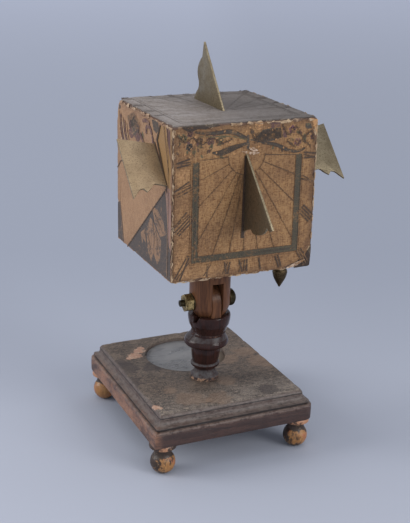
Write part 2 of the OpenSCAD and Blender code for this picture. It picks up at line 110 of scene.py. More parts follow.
def photo_camera():
    """The camera, where the photograph was taken from."""
    stand = Vector((-200.3, -434.3, 259.3))
    azimuth, elevation, roll = (math.radians(a) for a in (-24.44, 19.32, 1.29))
    back = Vector((
        math.sin(azimuth) * math.cos(elevation),
        -math.cos(azimuth) * math.cos(elevation),
        math.sin(elevation),
    ))
    camera = bpy.data.cameras.new("photo_camera")
    camera.lens, camera.sensor_width = 72.3, 36.0
    holder = linked("photo_camera", camera)
    holder.rotation_mode = "QUATERNION"
    holder.location = stand * MM
    aim = (-back).to_track_quat("-Z", "Y")
    holder.rotation_quaternion = aim @ Euler((0, 0, roll)).to_quaternion()
    bpy.context.scene.camera = holder


# Shapes
def curve_through(points, steps=6):
    """Points on a smooth line through the given ones."""
    def at(i):
        return Vector(points[min(max(i, 0), len(points) - 1)])

    line = []
    for i in range(len(points) - 1):
        a, b, c, d = at(i - 1), at(i), at(i + 1), at(i + 2)
        for k in range(steps):
            t = k / steps
            bend = (2 * a - 5 * b + 4 * c - d) * t ** 2 + (3 * b - a - 3 * c + d) * t ** 3
            line.append(0.5 * (2 * b + (c - a) * t + bend))
    return line + [at(len(points) - 1)]


def arc(radius, start, end, step):
    """Points on an arc about the origin, from one angle in degrees to another."""
    sign = 1 if end > start else -1
    turn = [math.radians(a) for a in range(start, end + sign, sign * step)]
    return [(radius * math.cos(a), radius * math.sin(a)) for a in turn]


def whole_turn(count):
    """Angles of that many points round a circle."""
    return [2 * math.pi * k / count for k in range(count)]


def ring(centre, radius, height, count=96):
    return [Vector((centre.x + radius * math.cos(a), centre.y + radius * math.sin(a), height))
            for a in whole_turn(count)]


def heading(path, i):
    """The way a path goes at one of its points."""
    return path[min(i + 1, len(path) - 1)] - path[max(i - 1, 0)]


def settle(mesh, name, body, finishes, slot, replaces=(), closed=True, crease=30):
    """Makes a mesh a piece of the object, smooth but for edges sharper than the crease."""
    bm = bmesh.new()
    bm.from_mesh(mesh)
    bmesh.ops.remove_doubles(bm, verts=bm.verts, dist=MERGE * MM)
    if closed:
        bmesh.ops.recalc_face_normals(bm, faces=bm.faces)
    for face in bm.faces:
        face.smooth = True
    for edge in bm.edges:
        edge.smooth = edge.calc_face_angle(0.0) < math.radians(crease)
    bm.to_mesh(mesh)
    bm.free()
    for finish in finishes:
        mesh.materials.append(finish)
    piece = linked(name, mesh)
    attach(piece, body)
    if replaces:
        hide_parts(*replaces)
    return piece


class Shape:
    """Points in millimetres and the faces between them, gathered until they become one piece."""

    def __init__(self):
        self.points, self.faces, self.worn = [], [], []

    def add(self, points, faces, worn=None):
        start = len(self.points)
        self.points += [Vector(p) for p in points]
        self.faces += [[start + i for i in face] for face in faces]
        self.worn += list(worn) if worn else [0.0] * len(points)

    def loft(self, rings, worn=None, caps=(True, True)):
        """A skin over closed rings of points, all with the same count."""
        count = len(rings[0])
        faces = []
        for i in range(len(rings) - 1):
            for k in range(count):
                a, b = i * count + k, i * count + (k + 1) % count
                faces.append((a, b, b + count, a + count))
        if caps[0]:
            faces.append(list(range(count))[::-1])
        if caps[1]:
            faces.append([(len(rings) - 1) * count + k for k in range(count)])
        wear = [w for w in (worn or [0.0] * len(rings)) for _ in range(count)]
        self.add([p for loop in rings for p in loop], faces, wear)

    def flat(self, loops):
        """A level face inside the first loop, with the other loops as holes."""
        points, outlines = [], []
        for loop in loops:
            order = -1 if outlines else 1
            outlines.append([len(points) + k for k in range(len(loop))][::order])
            points += loop
        inside_with_holes = 2
        flat, _, faces, *_ = delaunay_2d_cdt(
            [p.xy for p in points], [], outlines, inside_with_holes, 1e-5)
        self.add([(*p, points[0].z) for p in flat], faces)

    def take(self, mesh, place, lift):
        """A flat mesh of u and v, put where place says."""
        points = [place(v.co.x, v.co.y, lift) for v in mesh.vertices]
        self.add(points, [list(p.vertices) for p in mesh.polygons])
        bpy.data.meshes.remove(mesh)

    def piece(self, name, body, finish, **settings):
        mesh = bpy.data.meshes.new(name)
        mesh.from_pydata([p * MM for p in self.points], [], self.faces)
        worn = mesh.attributes.new("worn", "FLOAT", "POINT")
        worn.data.foreach_set("value", self.worn)
        return settle(mesh, name, body, [finish], **settings)


def baked(holder):
    """The mesh that an object's modifiers make of it. The object itself goes."""
    made = bpy.data.meshes.new_from_object(
        holder.evaluated_get(bpy.context.evaluated_depsgraph_get()))
    bpy.data.objects.remove(holder)
    return made


def eased(node, body, finishes, width, slot, rim=False):
    """A node's own shape with its sharp edges eased.

    With rim, the narrow faces of a plate take the second finish.
    """
    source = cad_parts[node].data
    mesh = bpy.data.meshes.new(node)
    mesh.from_pydata([v.co for v in source.vertices], [], [p.vertices for p in source.polygons])
    bm = bmesh.new()
    bm.from_mesh(mesh)
    bmesh.ops.remove_doubles(bm, verts=bm.verts, dist=MERGE * MM)
    bmesh.ops.dissolve_limit(bm, angle_limit=math.radians(1), verts=bm.verts, edges=bm.edges)
    bm.to_mesh(mesh)
    bm.free()
    holder = linked(node, mesh)
    bevel = holder.modifiers.new("ease", "BEVEL")
    bevel.width, bevel.segments = width * MM, 2
    bevel.limit_method, bevel.angle_limit = "ANGLE", math.radians(34)
    made = baked(holder)
    if rim:
        broad = max(made.polygons, key=lambda p: p.area).normal.copy()
        for polygon in made.polygons:
            polygon.material_index = int(abs(polygon.normal.dot(broad)) < 0.8)
    return settle(made, node + "_eased", body, finishes, slot, replaces=(node,))


# Nodes
def tone(red, green, blue):
    """A colour as a screen shows it, from 0 to 255, as linear light."""
    parts = [c / 255 for c in (red, green, blue)]
    return (*(c / 12.92 if c <= 0.04 else ((c + 0.055) / 1.055) ** 2.4 for c in parts), 1.0)


SOCKETS = {
    "v": "NodeSocketVector", "c": "NodeSocketColor", "f": "NodeSocketFloat",
    "i": "NodeSocketInt", "m": "NodeSocketMaterial", "g": "NodeSocketGeometry",
}


def new_tree(name, family, inputs, outputs):
    tree = bpy.data.node_groups.new(name, family)
    for way, sockets in (("INPUT", inputs), ("OUTPUT", outputs)):
        for label, kind in sockets.items():
            tree.interface.new_socket(label, in_out=way, socket_type=SOCKETS[kind])
    return tree


class Nodes:
    """A tree of nodes in the making."""

    def __init__(self, tree):
        self.tree = tree

    def put(self, kind, inputs=(), **settings):
        """Adds a node. An input is a value or another node's output."""
        made = self.tree.nodes.new(kind)
        for name, value in settings.items():
            setattr(made, name, value)
        for key, value in dict(inputs).items():
            if isinstance(value, bpy.types.NodeSocket):
                self.tree.links.new(value, made.inputs[key])
            else:
                made.inputs[key].default_value = value
        return made

    def calc(self, operation, *values):
        return self.put("ShaderNodeMath", enumerate(values), operation=operation).outputs[0]

    def times(self, first, second):
        return self.calc("MULTIPLY", first, second)

    def scaled(self, value, factor, offset):
        return self.calc("MULTIPLY_ADD", value, factor, offset)

    def end(self, **results):
        self.put("NodeGroupOutput", results)
        return self.tree


class Look(Nodes):
    """Nodes of a finish, or of a group in it: the place they start from and the colour so far."""

    where = colour = material = None

    def vectors(self, operation, *vectors, output="Vector"):
        made = self.put("ShaderNodeVectorMath", enumerate(vectors), operation=operation)
        return made.outputs[output]

    def along(self, axis):
        """How far a point lies along one axis, in metres."""
        return self.put("ShaderNodeSeparateXYZ", {0: self.where}).outputs[axis]

    def towards(self, way):
        """How far a point lies in a direction, in metres."""
        return self.vectors("DOT_PRODUCT", self.where, way, output="Value")

    def height(self):
        return self.calc("DIVIDE", self.along("Z"), MM)

    def wear(self):
        return self.put("ShaderNodeAttribute", attribute_name="worn").outputs["Fac"]

    def ramp(self, value, start, end):
        """0 up to start, 1 from end on, smooth between them."""
        inputs = {"Value": value, "From Min": start, "From Max": end}
        return self.put(
            "ShaderNodeMapRange", inputs, interpolation_type="SMOOTHSTEP").outputs[0]

    def cloud(self, size, detail, rough, stretch=(1, 1, 1)):
        """Noise with features of about that size in millimetres."""
        mapped = self.put("ShaderNodeMapping", {"Vector": self.where, "Scale": stretch})
        return self.put("ShaderNodeTexNoise", {
            "Vector": mapped.outputs[0], "Scale": 1 / (size * MM), "Detail": detail,
            "Roughness": rough}).outputs[0]

    def patches(self, size, detail, rough, start, end, stretch=(1, 1, 1)):
        """Patches of about that size: 0 where the noise is up to start, 1 from end on."""
        return self.ramp(self.cloud(size, detail, rough, stretch), start, end)

    def spot(self, centre, radius, ragged):
        """1 inside a ragged spot of that radius, 0 outside it."""
        far = self.vectors("DISTANCE", self.where, Vector(centre) * MM, output="Value")
        rough = self.times(self.cloud(radius * 0.6, 5, 0.65), radius * ragged * 2 * MM)
        outside, inside = radius * (1 + ragged) * MM, radius * (0.7 + ragged) * MM
        return self.ramp(self.calc("ADD", far, rough), outside, inside)

    def blended(self, mask, first, second, way="MIX"):
        """Two colours by a mask. A colour is an output, or red, green and blue on a screen."""
        first, second = (tone(*c) if isinstance(c, tuple) else c for c in (first, second))
        return self.put("ShaderNodeMix", {0: mask, 6: first, 7: second},
                        data_type="RGBA", blend_type=way).outputs[2]

    def begin(self, mask, first, second):
        self.colour = self.blended(mask, first, second)

    def lay(self, other, mask, amount=None, way="MIX"):
        """Lays another colour over the colour so far where the mask is, by that amount."""
        if amount is not None:
            mask = self.times(mask, amount)
        self.colour = self.blended(mask, self.colour, other, way)

    def group(self, tree, **inputs):
        """Puts a group there and returns its outputs."""
        inputs = {"Vector": self.where, **inputs}
        return self.put("ShaderNodeGroup", inputs, node_tree=tree).outputs

    def shade(self, roughness, height=None, relief=0.0, **fixed):
        """The surface itself. Relief is the bump's depth in millimetres."""
        inputs = {"Base Color": self.colour, "Roughness": roughness, **fixed}
        if height is not None:
            bump = self.put("ShaderNodeBump", {"Height": height, "Distance": relief * MM})
            inputs["Normal"] = bump.outputs[0]
        surface = self.put("ShaderNodeBsdfPrincipled", inputs)
        self.put("ShaderNodeOutputMaterial", {"Surface": surface.outputs[0]})
        return self.material


def new_group(name, inputs, outputs):
    look = Look(new_tree(name, "ShaderNodeTree", {"Vector": "v", **inputs}, outputs))
    given = look.put("NodeGroupInput").outputs
    look.where = given["Vector"]
    return look, given


def new_finish(name):
    material = bpy.data.materials.new(name)
    material.use_nodes = True
    material.node_tree.nodes.clear()
    look = Look(material.node_tree)
    look.where = look.put("ShaderNodeTexCoord").outputs["Object"]
    look.material = material
    return look


# Groups that more than one finish uses
def cube_edge_group():
    """How far a point lies from the cube's nearest edge, in millimetres."""
    look, _ = new_group("cube_edge", {}, {"Distance": "f"})
    offset = look.vectors("SUBTRACT", look.where, CUBE * MM)
    gap = look.vectors("SUBTRACT", HALF * MM, look.vectors("ABSOLUTE", offset))
    x, y, z = look.put("ShaderNodeSeparateXYZ", {0: gap}).outputs
    small, large = look.calc("MINIMUM", x, y), look.calc("MAXIMUM", x, y)
    second = look.calc("MAXIMUM", small, look.calc("MINIMUM", large, z))
    return look.end(Distance=look.calc("DIVIDE", second, MM))


def wood_group():
    """Grain that runs along Z: its figure, its dark pores and its relief."""
    look, given = new_group(
        "wood_grain", {"Size": "f"}, {"Figure": "f", "Pores": "f", "Height": "f"})
    look.where = look.put("ShaderNodeVectorMath", {0: look.where, "Scale": given["Size"]},
                          operation="SCALE").outputs[0]
    bands = look.cloud(3.0, 4, 0.6, (1, 1, 0.07))
    figure = look.scaled(look.calc("SINE", look.times(bands, 34.0)), 0.25, bands)
    pores = look.patches(0.35, 2, 0.5, 0.6, 0.72, (1, 1, 0.05))
    return look.end(Figure=figure, Pores=pores, Height=look.calc("SUBTRACT", figure, pores))


PAPER_TONES = ("Tone", "Shade", "Soil", "Bare", "Gilt")


def paper_group(cube_edge):
    """Old painted paper: clouds, fibres and specks, soiled and rubbed towards the cube's edges."""
    look, given = new_group("dial_paper", {"Weave": "f", **dict.fromkeys(PAPER_TONES, "c")},
                            {"Colour": "c", "Height": "f"})
    look.begin(look.patches(16, 6, 0.62, 0.36, 0.66), given["Tone"], given["Shade"])
    upright, level = (1, 1, 0.16), (0.22, 0.22, 1)
    weave = look.calc("ADD", *(look.cloud(0.4, 3, 0.7, way) for way in (upright, level)))
    threads = look.times(look.ramp(weave, 0.88, 1.24), given["Weave"])
    look.lay((182, 162, 144), threads, way="MULTIPLY")
    look.lay(given["Soil"], look.patches(2.2, 6, 0.75, 0.5, 0.72), 0.6)
    look.lay(given["Gilt"], look.patches(1.1, 4, 0.75, 0.54, 0.68), 0.55)
    look.lay(given["Bare"], look.patches(0.8, 3, 0.7, 0.66, 0.72), 0.5)
    edge = look.group(cube_edge)["Distance"]
    soil_reach = look.times(look.cloud(5, 5, 0.65), 9.0)
    look.lay(given["Soil"], look.ramp(look.calc("SUBTRACT", edge, soil_reach), 0.0, -4.0), 0.48)
    broad = look.patches(8, 4, 0.6, 0.5, 0.72)
    fine = look.patches(1.3, 5, 0.7, 0.48, 0.7)
    rag = look.times(look.scaled(fine, 0.5, 0.5), look.times(broad, 3.2))
    rubbed = look.ramp(look.calc("SUBTRACT", edge, rag), 0.2, -0.25)
    look.lay(given["Bare"], rubbed)
    return look.end(Colour=look.colour, Height=look.calc("SUBTRACT", weave, rubbed))


def tarnish_group():
    """Old metal: dull brown film over bright metal, with dark spots."""
    look, given = new_group("tarnish", {"Bright": "c", "Dull": "c", "Spots": "c"},
                            {"Colour": "c", "Roughness": "f", "Height": "f"})
    film = look.patches(7, 6, 0.65, 0.34, 0.68)
    look.begin(film, given["Bright"], given["Dull"])
    fine = look.cloud(0.7, 4, 0.7)
    look.lay(given["Spots"], look.ramp(fine, 0.5, 0.66))
    look.lay(given["Spots"], look.patches(0.3, 2, 0.6, 0.5, 0.7), 0.6)
    roughness = look.scaled(film, 0.2, look.scaled(fine, 0.2, 0.28))
    relief = look.calc("ADD", fine, look.cloud(0.6, 3, 0.6, (1, 0.1, 0.1)))
    return look.end(Colour=look.colour, Roughness=roughness, Height=relief)


WOOD = wood_group()
DIAL_PAPER = paper_group(cube_edge_group())
TARNISH = tarnish_group()

# Papers of the faces: tone, darker clouds, soil, what shows where they are rubbed, and gilt
PAPERS = {
    "south": ((166, 127, 84), (140, 104, 69), (88, 62, 45), (188, 160, 126), (194, 146, 90)),
    "west": ((174, 136, 102), (164, 127, 95), (130, 100, 81), (186, 158, 128), (192, 154, 112)),
    "top": ((157, 149, 145), (146, 137, 131), (106, 96, 90), (184, 172, 158), (163, 151, 138)),
    "north": ((162, 126, 92), (140, 106, 77), (96, 70, 53), (196, 172, 144), (188, 144, 94)),
    "east": ((166, 130, 98), (146, 112, 84), (98, 74, 59), (196, 172, 144), (188, 148, 102)),
}
# Inks: their tone, how much of it has been rubbed away, and the ink beneath if there is one
INKS = {
    "black": ((60, 48, 41), 0.43),
    "line": ((66, 50, 40), 0.43),
    "hour": ((82, 62, 48), 0.46),
    "mauve": ((150, 118, 108), 0.4),
    # dark_and_shade: painted shade along the gnomons' roots and under the top edge of the south
    # paper, and the dark of the broken corner
    "dark_and_shade": ((34, 26, 24), 0.3),
    "bare": ((192, 166, 136), 0.52),
    "faint": ((84, 70, 62), 0.54),
    "band": ((76, 76, 62), 0.4),
    "dark": ((58, 59, 56), 0.42),
    "slate": ((61, 62, 64), 0.38),
    "violet": ((86, 60, 63), 0.43),
    "plum": ((108, 68, 84), 0.42),
    "gilt": ((196, 146, 96), 0.49),
    "glow": ((182, 138, 94), 0.55),
    "chalk": ((206, 180, 156), 0.5),
    "green": ((84, 84, 62), 0.44),
    "pale": ((158, 122, 92), 0.46, "slate"),
    "ochre": ((152, 118, 74), 0.4),
}


# Finishes
def on_paper(name, face):
    """A finish that starts with a face's paper, and the paper's relief."""
    look = new_finish(name)
    tones = {label: tone(*parts) for label, parts in zip(PAPER_TONES, PAPERS[face])}
    paper = look.group(DIAL_PAPER, Weave=1.0 if face == "south" else 0.55, **tones)
    look.colour = paper["Colour"]
    if face == "top":
        # The top darkens towards the east: partly dust, partly painted light from the west
        look.lay((184, 182, 180), look.ramp(look.along("X"), -0.036, 0.02), way="MULTIPLY")
        streak = look.patches(1.6, 5, 0.7, 0.45, 0.65, (0.07, 1, 1))
        look.lay((234, 231, 228), streak, way="MULTIPLY")
    return look, paper["Height"]


def paper_finish(face):
    look, relief = on_paper("paper_" + face, face)
    return look.shade(0.72, relief, 0.06)


def ink_finish(face, ink):
    """Ink or wash over the same paper, which shows through where the ink is rubbed away."""
    look, relief = on_paper(f"{ink}_on_{face}", face)
    shown, rubbed, *beneath = INKS[ink]
    if beneath:
        look.lay(INKS[beneath[0]][0], 0.88)
    wear = look.scaled(look.cloud(1.3, 5, 0.7), 0.6, look.times(look.cloud(9, 4, 0.6), 0.4))
    kept = look.times(look.ramp(wear, rubbed - 0.06, rubbed + 0.08), 0.88)
    fine = look.patches(0.6, 4, 0.75, 0.56, 0.7)
    look.lay(shown, kept, look.scaled(fine, -0.55, 1.0))
    return look.shade(0.68, relief, 0.06)


def bare_block():
    """Pale wood, soiled, and dark where the corner has broken away."""
    look = new_finish("bare_block")
    grain = look.group(WOOD, Size=1.0)
    look.begin(grain["Figure"], (194, 168, 138), (166, 134, 104))
    look.lay((110, 84, 62), grain["Pores"])
    look.lay((104, 80, 68), look.patches(7, 6, 0.68, 0.34, 0.5))
    underside = CUBE.z - HALF.z
    look.lay((110, 84, 62), look.ramp(look.height(), underside + 1.2, underside + 0.4), 0.6)
    look.lay((56, 47, 49), look.spot(CUBE + CHIPPED, 8.0, 0.4))
    return look.shade(0.78, grain["Height"], 0.08)


# Marks on top of the base, each with its place and radius: worn bare, stained, and chipped
RUBS = (((35, 7), 9), ((30, 20), 7), ((-18, -20), 9), ((6.6, -8.2), 6), ((-5, -24), 7),
        ((17.5, 14.4), 7), ((-23.8, -8.4), 4))
STAINS = (((-35, 23), 9), ((-22, 20), 6), ((22, -24), 6), ((-38, 8), 7), ((-37, 31), 6))
CHIPS = (((-25.4, 36.2), 4.2), ((-29.2, 34.2), 1.9), ((-21.4, 41), 3.4), ((-19.4, 44), 2.2),
         ((-37.6, -20.2), 1.6), ((-36.2, -22), 1.9), ((-35, -23.8), 1.3))


def base_side(look, grain, height, rag):
    """The base's sides: redder and paler on the west, from wear and painted light, dull on the
    mouldings, with dark threads.
    """
    look.begin(grain["Figure"], (81, 57, 49), (55, 39, 35))
    # Painted light from the west over the west side's wear: redder and paler there
    west = look.ramp(look.along("X"), -0.0375, -0.0418)
    look.lay((150, 108, 84), west, look.patches(12, 5, 0.6, 0.3, 0.6, (1, 1, 2)))
    moulded = look.times(
        look.ramp(height, BASE_LOW + 7.4, BASE_LOW + 8.4), look.ramp(rag, 0.25, 0.6))
    look.lay((110, 98, 90), moulded, 0.8)
    look.lay((42, 33, 31), look.patches(0.7, 4, 0.75, 0.5, 0.66, (0.25, 0.25, 1)), 0.68)
    return look.colour


def base_top(look, speck, crumb):
    """The base's flat top: dusty and scratched, darker towards the back."""
    look.begin(look.patches(11, 7, 0.7, 0.36, 0.64), (90, 81, 74), (126, 115, 105))
    look.lay((62, 53, 50), look.patches(1.6, 5, 0.7, 0.5, 0.7, (0.12, 1, 1)), 0.55)
    look.lay((156, 141, 126), look.ramp(speck, 0.53, 0.62))
    look.lay((44, 38, 37), look.ramp(speck, 0.46, 0.36))
    look.lay((152, 136, 120), look.ramp(crumb, 0.52, 0.62), 0.75)
    look.lay((50, 43, 42), look.ramp(crumb, 0.47, 0.38), 0.75)
    look.lay((214, 204, 196), look.ramp(look.along("Y"), -0.026, -0.004), way="MULTIPLY")
    for marks, shown, amount in ((RUBS, (142, 114, 92), 0.36), (STAINS, (58, 48, 46), 0.65)):
        for place, radius in marks:
            look.lay(shown, look.spot((*place, BASE_TOP), radius, 0.9), amount)
    return look.colour


def base_wood():
    """Dark stained wood, with pale splinters where its edges are chipped."""
    look = new_finish("base_wood")
    lengthwise = look.put("ShaderNodeMapping", {
        "Vector": look.where, "Rotation": (0, math.radians(90), 0)}).outputs[0]
    grain = look.group(WOOD, Vector=lengthwise, Size=0.7)
    worn, height = look.wear(), look.height()
    rag = look.cloud(2.4, 6, 0.7)
    speck = look.cloud(0.7, 4, 0.75)
    crumb = look.cloud(1.7, 6, 0.8, (0.7, 1, 1))
    on_top = look.ramp(height, BASE_TOP - 0.9, BASE_TOP - 0.15)
    look.begin(on_top, base_side(look, grain, height, rag), base_top(look, speck, crumb))
    look.lay((126, 106, 95), look.ramp(look.times(worn, rag), 0.4, 0.58), 0.5)
    look.lay((34, 28, 27), look.ramp(worn, -0.05, -0.85), 0.92)
    splinters = look.blended(look.ramp(crumb, 0.5, 0.62), (172, 131, 108), (204, 180, 157))
    for place, radius in CHIPS:
        look.lay(splinters, look.spot((*place, BASE_TOP), radius, 0.8))
    look.lay((46, 36, 33), grain["Pores"], 0.5)
    roughness = look.scaled(on_top, 0.2, look.scaled(rag, 0.3, 0.3))
    relief = look.calc("ADD", grain["Height"], look.calc("ADD", rag, speck))
    return look.shade(roughness, relief, 0.1)


def turned_wood(name, light, dark, bare, gloss, film, size):
    """Polished turned wood, rubbed bare where its wear is above nought, dusty where below it."""
    look = new_finish(name)
    grain = look.group(WOOD, Size=size)
    worn, height = look.wear(), look.height()
    rag = look.cloud(1.8, 6, 0.7)
    look.begin(grain["Figure"], light, dark)
    look.lay((30, 20, 17), grain["Pores"], 0.7)
    low = look.ramp(height, BASE_TOP + 6.2, BASE_TOP + 4.5)
    dusty = look.calc("MAXIMUM", low, look.ramp(worn, -0.05, -0.7))
    look.lay((78, 74, 74), look.calc("MAXIMUM", dusty, film), look.ramp(rag, 0.3, 0.62))
    look.lay(bare, look.ramp(look.times(worn, rag), 0.42, 0.56))
    # Pale worn rim of the flange, kept only on its west-north-west side: wear, and painted light
    # from the lamp there
    rim = look.times(
        look.ramp(height, BASE_TOP + 1.9, BASE_TOP + 1.5), look.ramp(rag, 0.48, 0.58))
    look.lay((162, 130, 106), rim, look.ramp(look.towards(-TO_RIGHT), -0.001, 0.001))
    turns = look.cloud(0.5, 2, 0.5, (0.03, 0.03, 1))
    rough = look.scaled(rag, 0.24, look.scaled(dusty, 0.3, gloss))
    relief = look.scaled(look.times(rag, low), 12.0, grain["Height"])
    return look.shade(
        rough, look.calc("ADD", relief, turns), 0.02, **{"Specular IOR Level": 0.22})


def foot_wood():
    """Ochre wood, reddened in patches, with remains of black paint on the necks and balls."""
    look = new_finish("foot_wood")
    grain = look.group(WOOD, Size=1.6)
    height = look.height()
    look.begin(grain["Figure"], (178, 129, 74), (144, 97, 55))
    look.lay((168, 100, 72), look.patches(6, 4, 0.6, 0.5, 0.62), 0.65)
    look.lay((180, 130, 98), look.ramp(height, 13.2, 13.8))
    neck = look.times(look.ramp(height, 9.0, 10.4), look.ramp(height, 13.5, 13.1))
    paint = look.scaled(neck, 0.3, look.cloud(5.5, 6, 0.7, (1, 1, 0.6)))
    paint = look.scaled(look.ramp(height, 3.2, 0.6), 0.1, paint)
    paint = look.calc("ADD", paint, look.scaled(look.wear(), -0.13, 0.115))
    look.lay((34, 26, 23), look.ramp(paint, 0.54, 0.63), 0.94)
    look.lay((204, 168, 124), look.patches(1.0, 5, 0.75, 0.56, 0.68), 0.45)
    relief = look.calc("SUBTRACT", grain["Height"], look.ramp(paint, 0.5, 0.6))
    return look.shade(look.scaled(paint, 0.2, 0.26), relief, 0.05)


def metal(name, bright, dull, spots, metallic=0.85):
    look = new_finish(name)
    old = look.group(TARNISH, Bright=tone(*bright), Dull=tone(*dull), Spots=tone(*spots))
    look.colour = old["Colour"]
    return look.shade(old["Roughness"], old["Height"], 0.02, Metallic=metallic)


def card_finish(name, shown, kept):
    look = new_finish(name)
    fine = look.cloud(0.6, 4, 0.7)
    look.begin(look.patches(6, 5, 0.6, 0.35, 0.7), (150, 145, 134), (122, 116, 106))
    look.lay(shown, look.ramp(fine, 0.3, 0.45), kept)
    return look.shade(0.75, fine, 0.03)


def dusty_glass():
    """A pane under old dust, which thins in places, darker and browner at its edge beside the
    pillar.
    """
    look = new_finish("dusty_glass")
    haze = look.patches(7, 4, 0.55, 0.35, 0.68, (0.5, 1, 1))
    look.begin(haze, (144, 143, 144), (151, 149, 149))
    smear = look.patches(3.2, 3, 0.55, 0.54, 0.64, (0.35, 1, 1))
    look.lay((158, 154, 152), smear, 0.5)
    thin = look.patches(4.1, 3, 0.55, 0.46, 0.36, (0.6, 1, 1))
    look.lay((108, 108, 112), thin, 0.6)
    # Darker and browner at the edge beside the pillar
    near_pillar = look.spot(COMPASS + Vector((16.5, -9, 0)), 11.0, 0.3)
    look.lay((114, 100, 87), near_pillar)
    rough, thick = (look.calc("MAXIMUM", look.scaled(haze, share, least), near_pillar)
                    for share, least in ((0.22, 0.26), (0.16, 0.62)))
    return look.shade(rough, look.cloud(5, 3, 0.5), 0.02, **{
        "Transmission Weight": 0.2, "IOR": 1.5, "Alpha": thick, "Specular IOR Level": 0.35})


def thread_finish():
    look = new_finish("flax_thread")
    lint = look.cloud(0.12, 3, 0.7)
    look.begin(lint, (150, 132, 104), (92, 78, 60))
    return look.shade(0.85, lint, 0.03)


BLOCK_WOOD = bare_block()
BASE_WOOD = base_wood()
DARK_POLISH = turned_wood(
    "dark_polish", (59, 34, 29), (35, 21, 18), (112, 82, 66), 0.0, 0.05, 1.0)
FORK_WOOD = turned_wood(
    "fork_wood", (118, 78, 51), (78, 49, 34), (136, 98, 72), 0.24, 0.0, 0.8)
FOOT_WOOD = foot_wood()
# Copies of the gnomons' brass with painted light and shade: shaded for the south and east plates,
# lit and more ochre for the west one
SHADED_BRASS = metal("shaded_brass", (140, 126, 103), (117, 104, 83), (101, 89, 70))
PLATE_BRASS = metal("plate_brass", (156, 142, 116), (130, 117, 94), (104, 92, 70))
SHADED_EAST_BRASS = metal("shaded_east_brass", (145, 132, 108), (121, 109, 88), (97, 86, 65))
LIT_OCHRE_BRASS = metal("lit_ochre_brass", (174, 149, 115), (152, 129, 99), (126, 106, 80), 0.3)
RIM_BRASS = metal("rim_brass", (176, 162, 134), (144, 130, 104), (110, 96, 74))
FITTING_BRASS = metal("fitting_brass", (196, 172, 118), (98, 82, 55), (46, 39, 28))
DARK_BRASS = metal("dark_brass", (104, 86, 58), (66, 54, 38), (44, 36, 27))
BOLT_BRASS = metal("bolt_brass", (80, 71, 49), (47, 41, 29), (31, 27, 21))
BLUED_STEEL = metal("blued_steel", (70, 80, 104), (44, 48, 60), (74, 58, 46), 0.8)
CARD = card_finish("card_paper", (122, 116, 106), 0.0)
CARD_INK = card_finish("card_ink", (64, 58, 54), 0.85)
CARD_RED = card_finish("card_red", (112, 66, 56), 0.8)
GLASS = dusty_glass()
THREAD = thread_finish()



# Plumb line, first of the pieces: a twisted thread that loops over its nail and hangs straight
def thread_route():
    nail = middle("plumb_nail")
    at = Vector((middle("plumb_line").x, nail.y, nail.z))
    length = at.z - low_high("plumb_line")[0].z
    joined, steps = 5.0, 40
    over_nail = arc(0.96, 180, 0, 30)
    sides = [(-0.5, -2.2), (-0.85, -1.0), *over_nail, (0.85, -1.0), (0.5, -2.2), (0.1, -3.5)]
    hang = [(0.0, -joined - k / steps * (length - joined)) for k in range(steps + 1)]
    return [at + Vector((0, y, z)) for y, z in sides + hang]


def tube(shape, path, radius):
    """A six-sided tube along a path of points."""
    rings = []
    for i, point in enumerate(path):
        ahead = heading(path, i).normalized()
        first = first - ahead * first.dot(ahead) if rings else ahead.orthogonal()
        first.normalize()
        second = ahead.cross(first)
        rings.append([point + radius * (first * math.cos(a) + second * math.sin(a))
                      for a in whole_turn(6)])
    shape.loft(rings)


def plumb_line():
    route = curve_through(thread_route(), 8)
    pitch, offset = 1.5, 0.13
    across = Vector((1, 0, 0))
    shape = Shape()
    for half_turn in (0, math.pi):
        gone, path = 0.0, []
        for i, point in enumerate(route):
            gone += (point - route[max(i - 1, 0)]).length
            angle = 2 * math.pi * gone / pitch + half_turn
            beside = across.cross(heading(route, i).normalized())
            path.append(point + offset * (across * math.cos(angle) + beside * math.sin(angle)))
        tube(shape, path, THREAD_R - offset)
    line = shape.piece("plumb_thread", "plumb", THREAD, slot="thread", replaces=("plumb_line",),
                       crease=80)
    rounds, cuts, foot = 3, 12, route[0] + Vector((0, 0.45, -1.5))
    wound = [2 * math.pi * k / cuts for k in range(cuts * rounds + 1)]
    knot = Shape()
    tube(knot, [foot + Vector((0.5 * math.cos(a), 0.62 * math.sin(a), 0.055 * a)) for a in wound],
         0.2)
    tied = knot.piece("thread_knot", "plumb", THREAD, slot="thread", crease=80)


# The cube: a worn block and its papers
def edge_round(flat):
    """How far the block's edges are rubbed round near a point of the plain cube."""
    broad = max(0.0, noise.noise(flat * 0.11) + 0.1)
    fine = abs(noise.noise(flat * 0.5))
    near = [(size, (flat - corner).length / BLUNT_REACH) for corner, size in BLUNT]
    return 0.35 + 0.6 * broad + 0.3 * fine + sum(size * max(0.0, 1 - far) for size, far in near)


def on_cube(face, u, v, lift=0.0):
    """A point over the worn block: u to the right, v up from the face's middle, lift outwards."""
    right, up, out = FACES[face]
    flat = right * u + up * v + out * abs(out.dot(HALF))
    ease = edge_round(flat)
    core = Vector(max(-h + ease, min(h - ease, c)) for c, h in zip(flat, HALF))
    away = (flat - core).normalized()
    return CUBE + core + away * (ease + lift)


def half_size(face):
    right, up, _ = FACES[face]
    return abs(right.dot(HALF)), abs(up.dot(HALF))


def grid_faces(steps):
    side = steps + 1
    cells = [j * side + i for j in range(steps) for i in range(steps)]
    return [(c, c + 1, c + 1 + side, c + side) for c in cells]


def worn_block():
    shape, steps = Shape(), 72
    share = [2 * k / steps - 1 for k in range(steps + 1)]
    for face in FACES:
        wide, high = half_size(face)
        points = [on_cube(face, wide * s, high * t) for t in share for s in share]
        shape.add(points, grid_faces(steps))
    shape.piece("block_worn", "head", BLOCK_WOOD, slot="pale_wood", replaces=("block",))


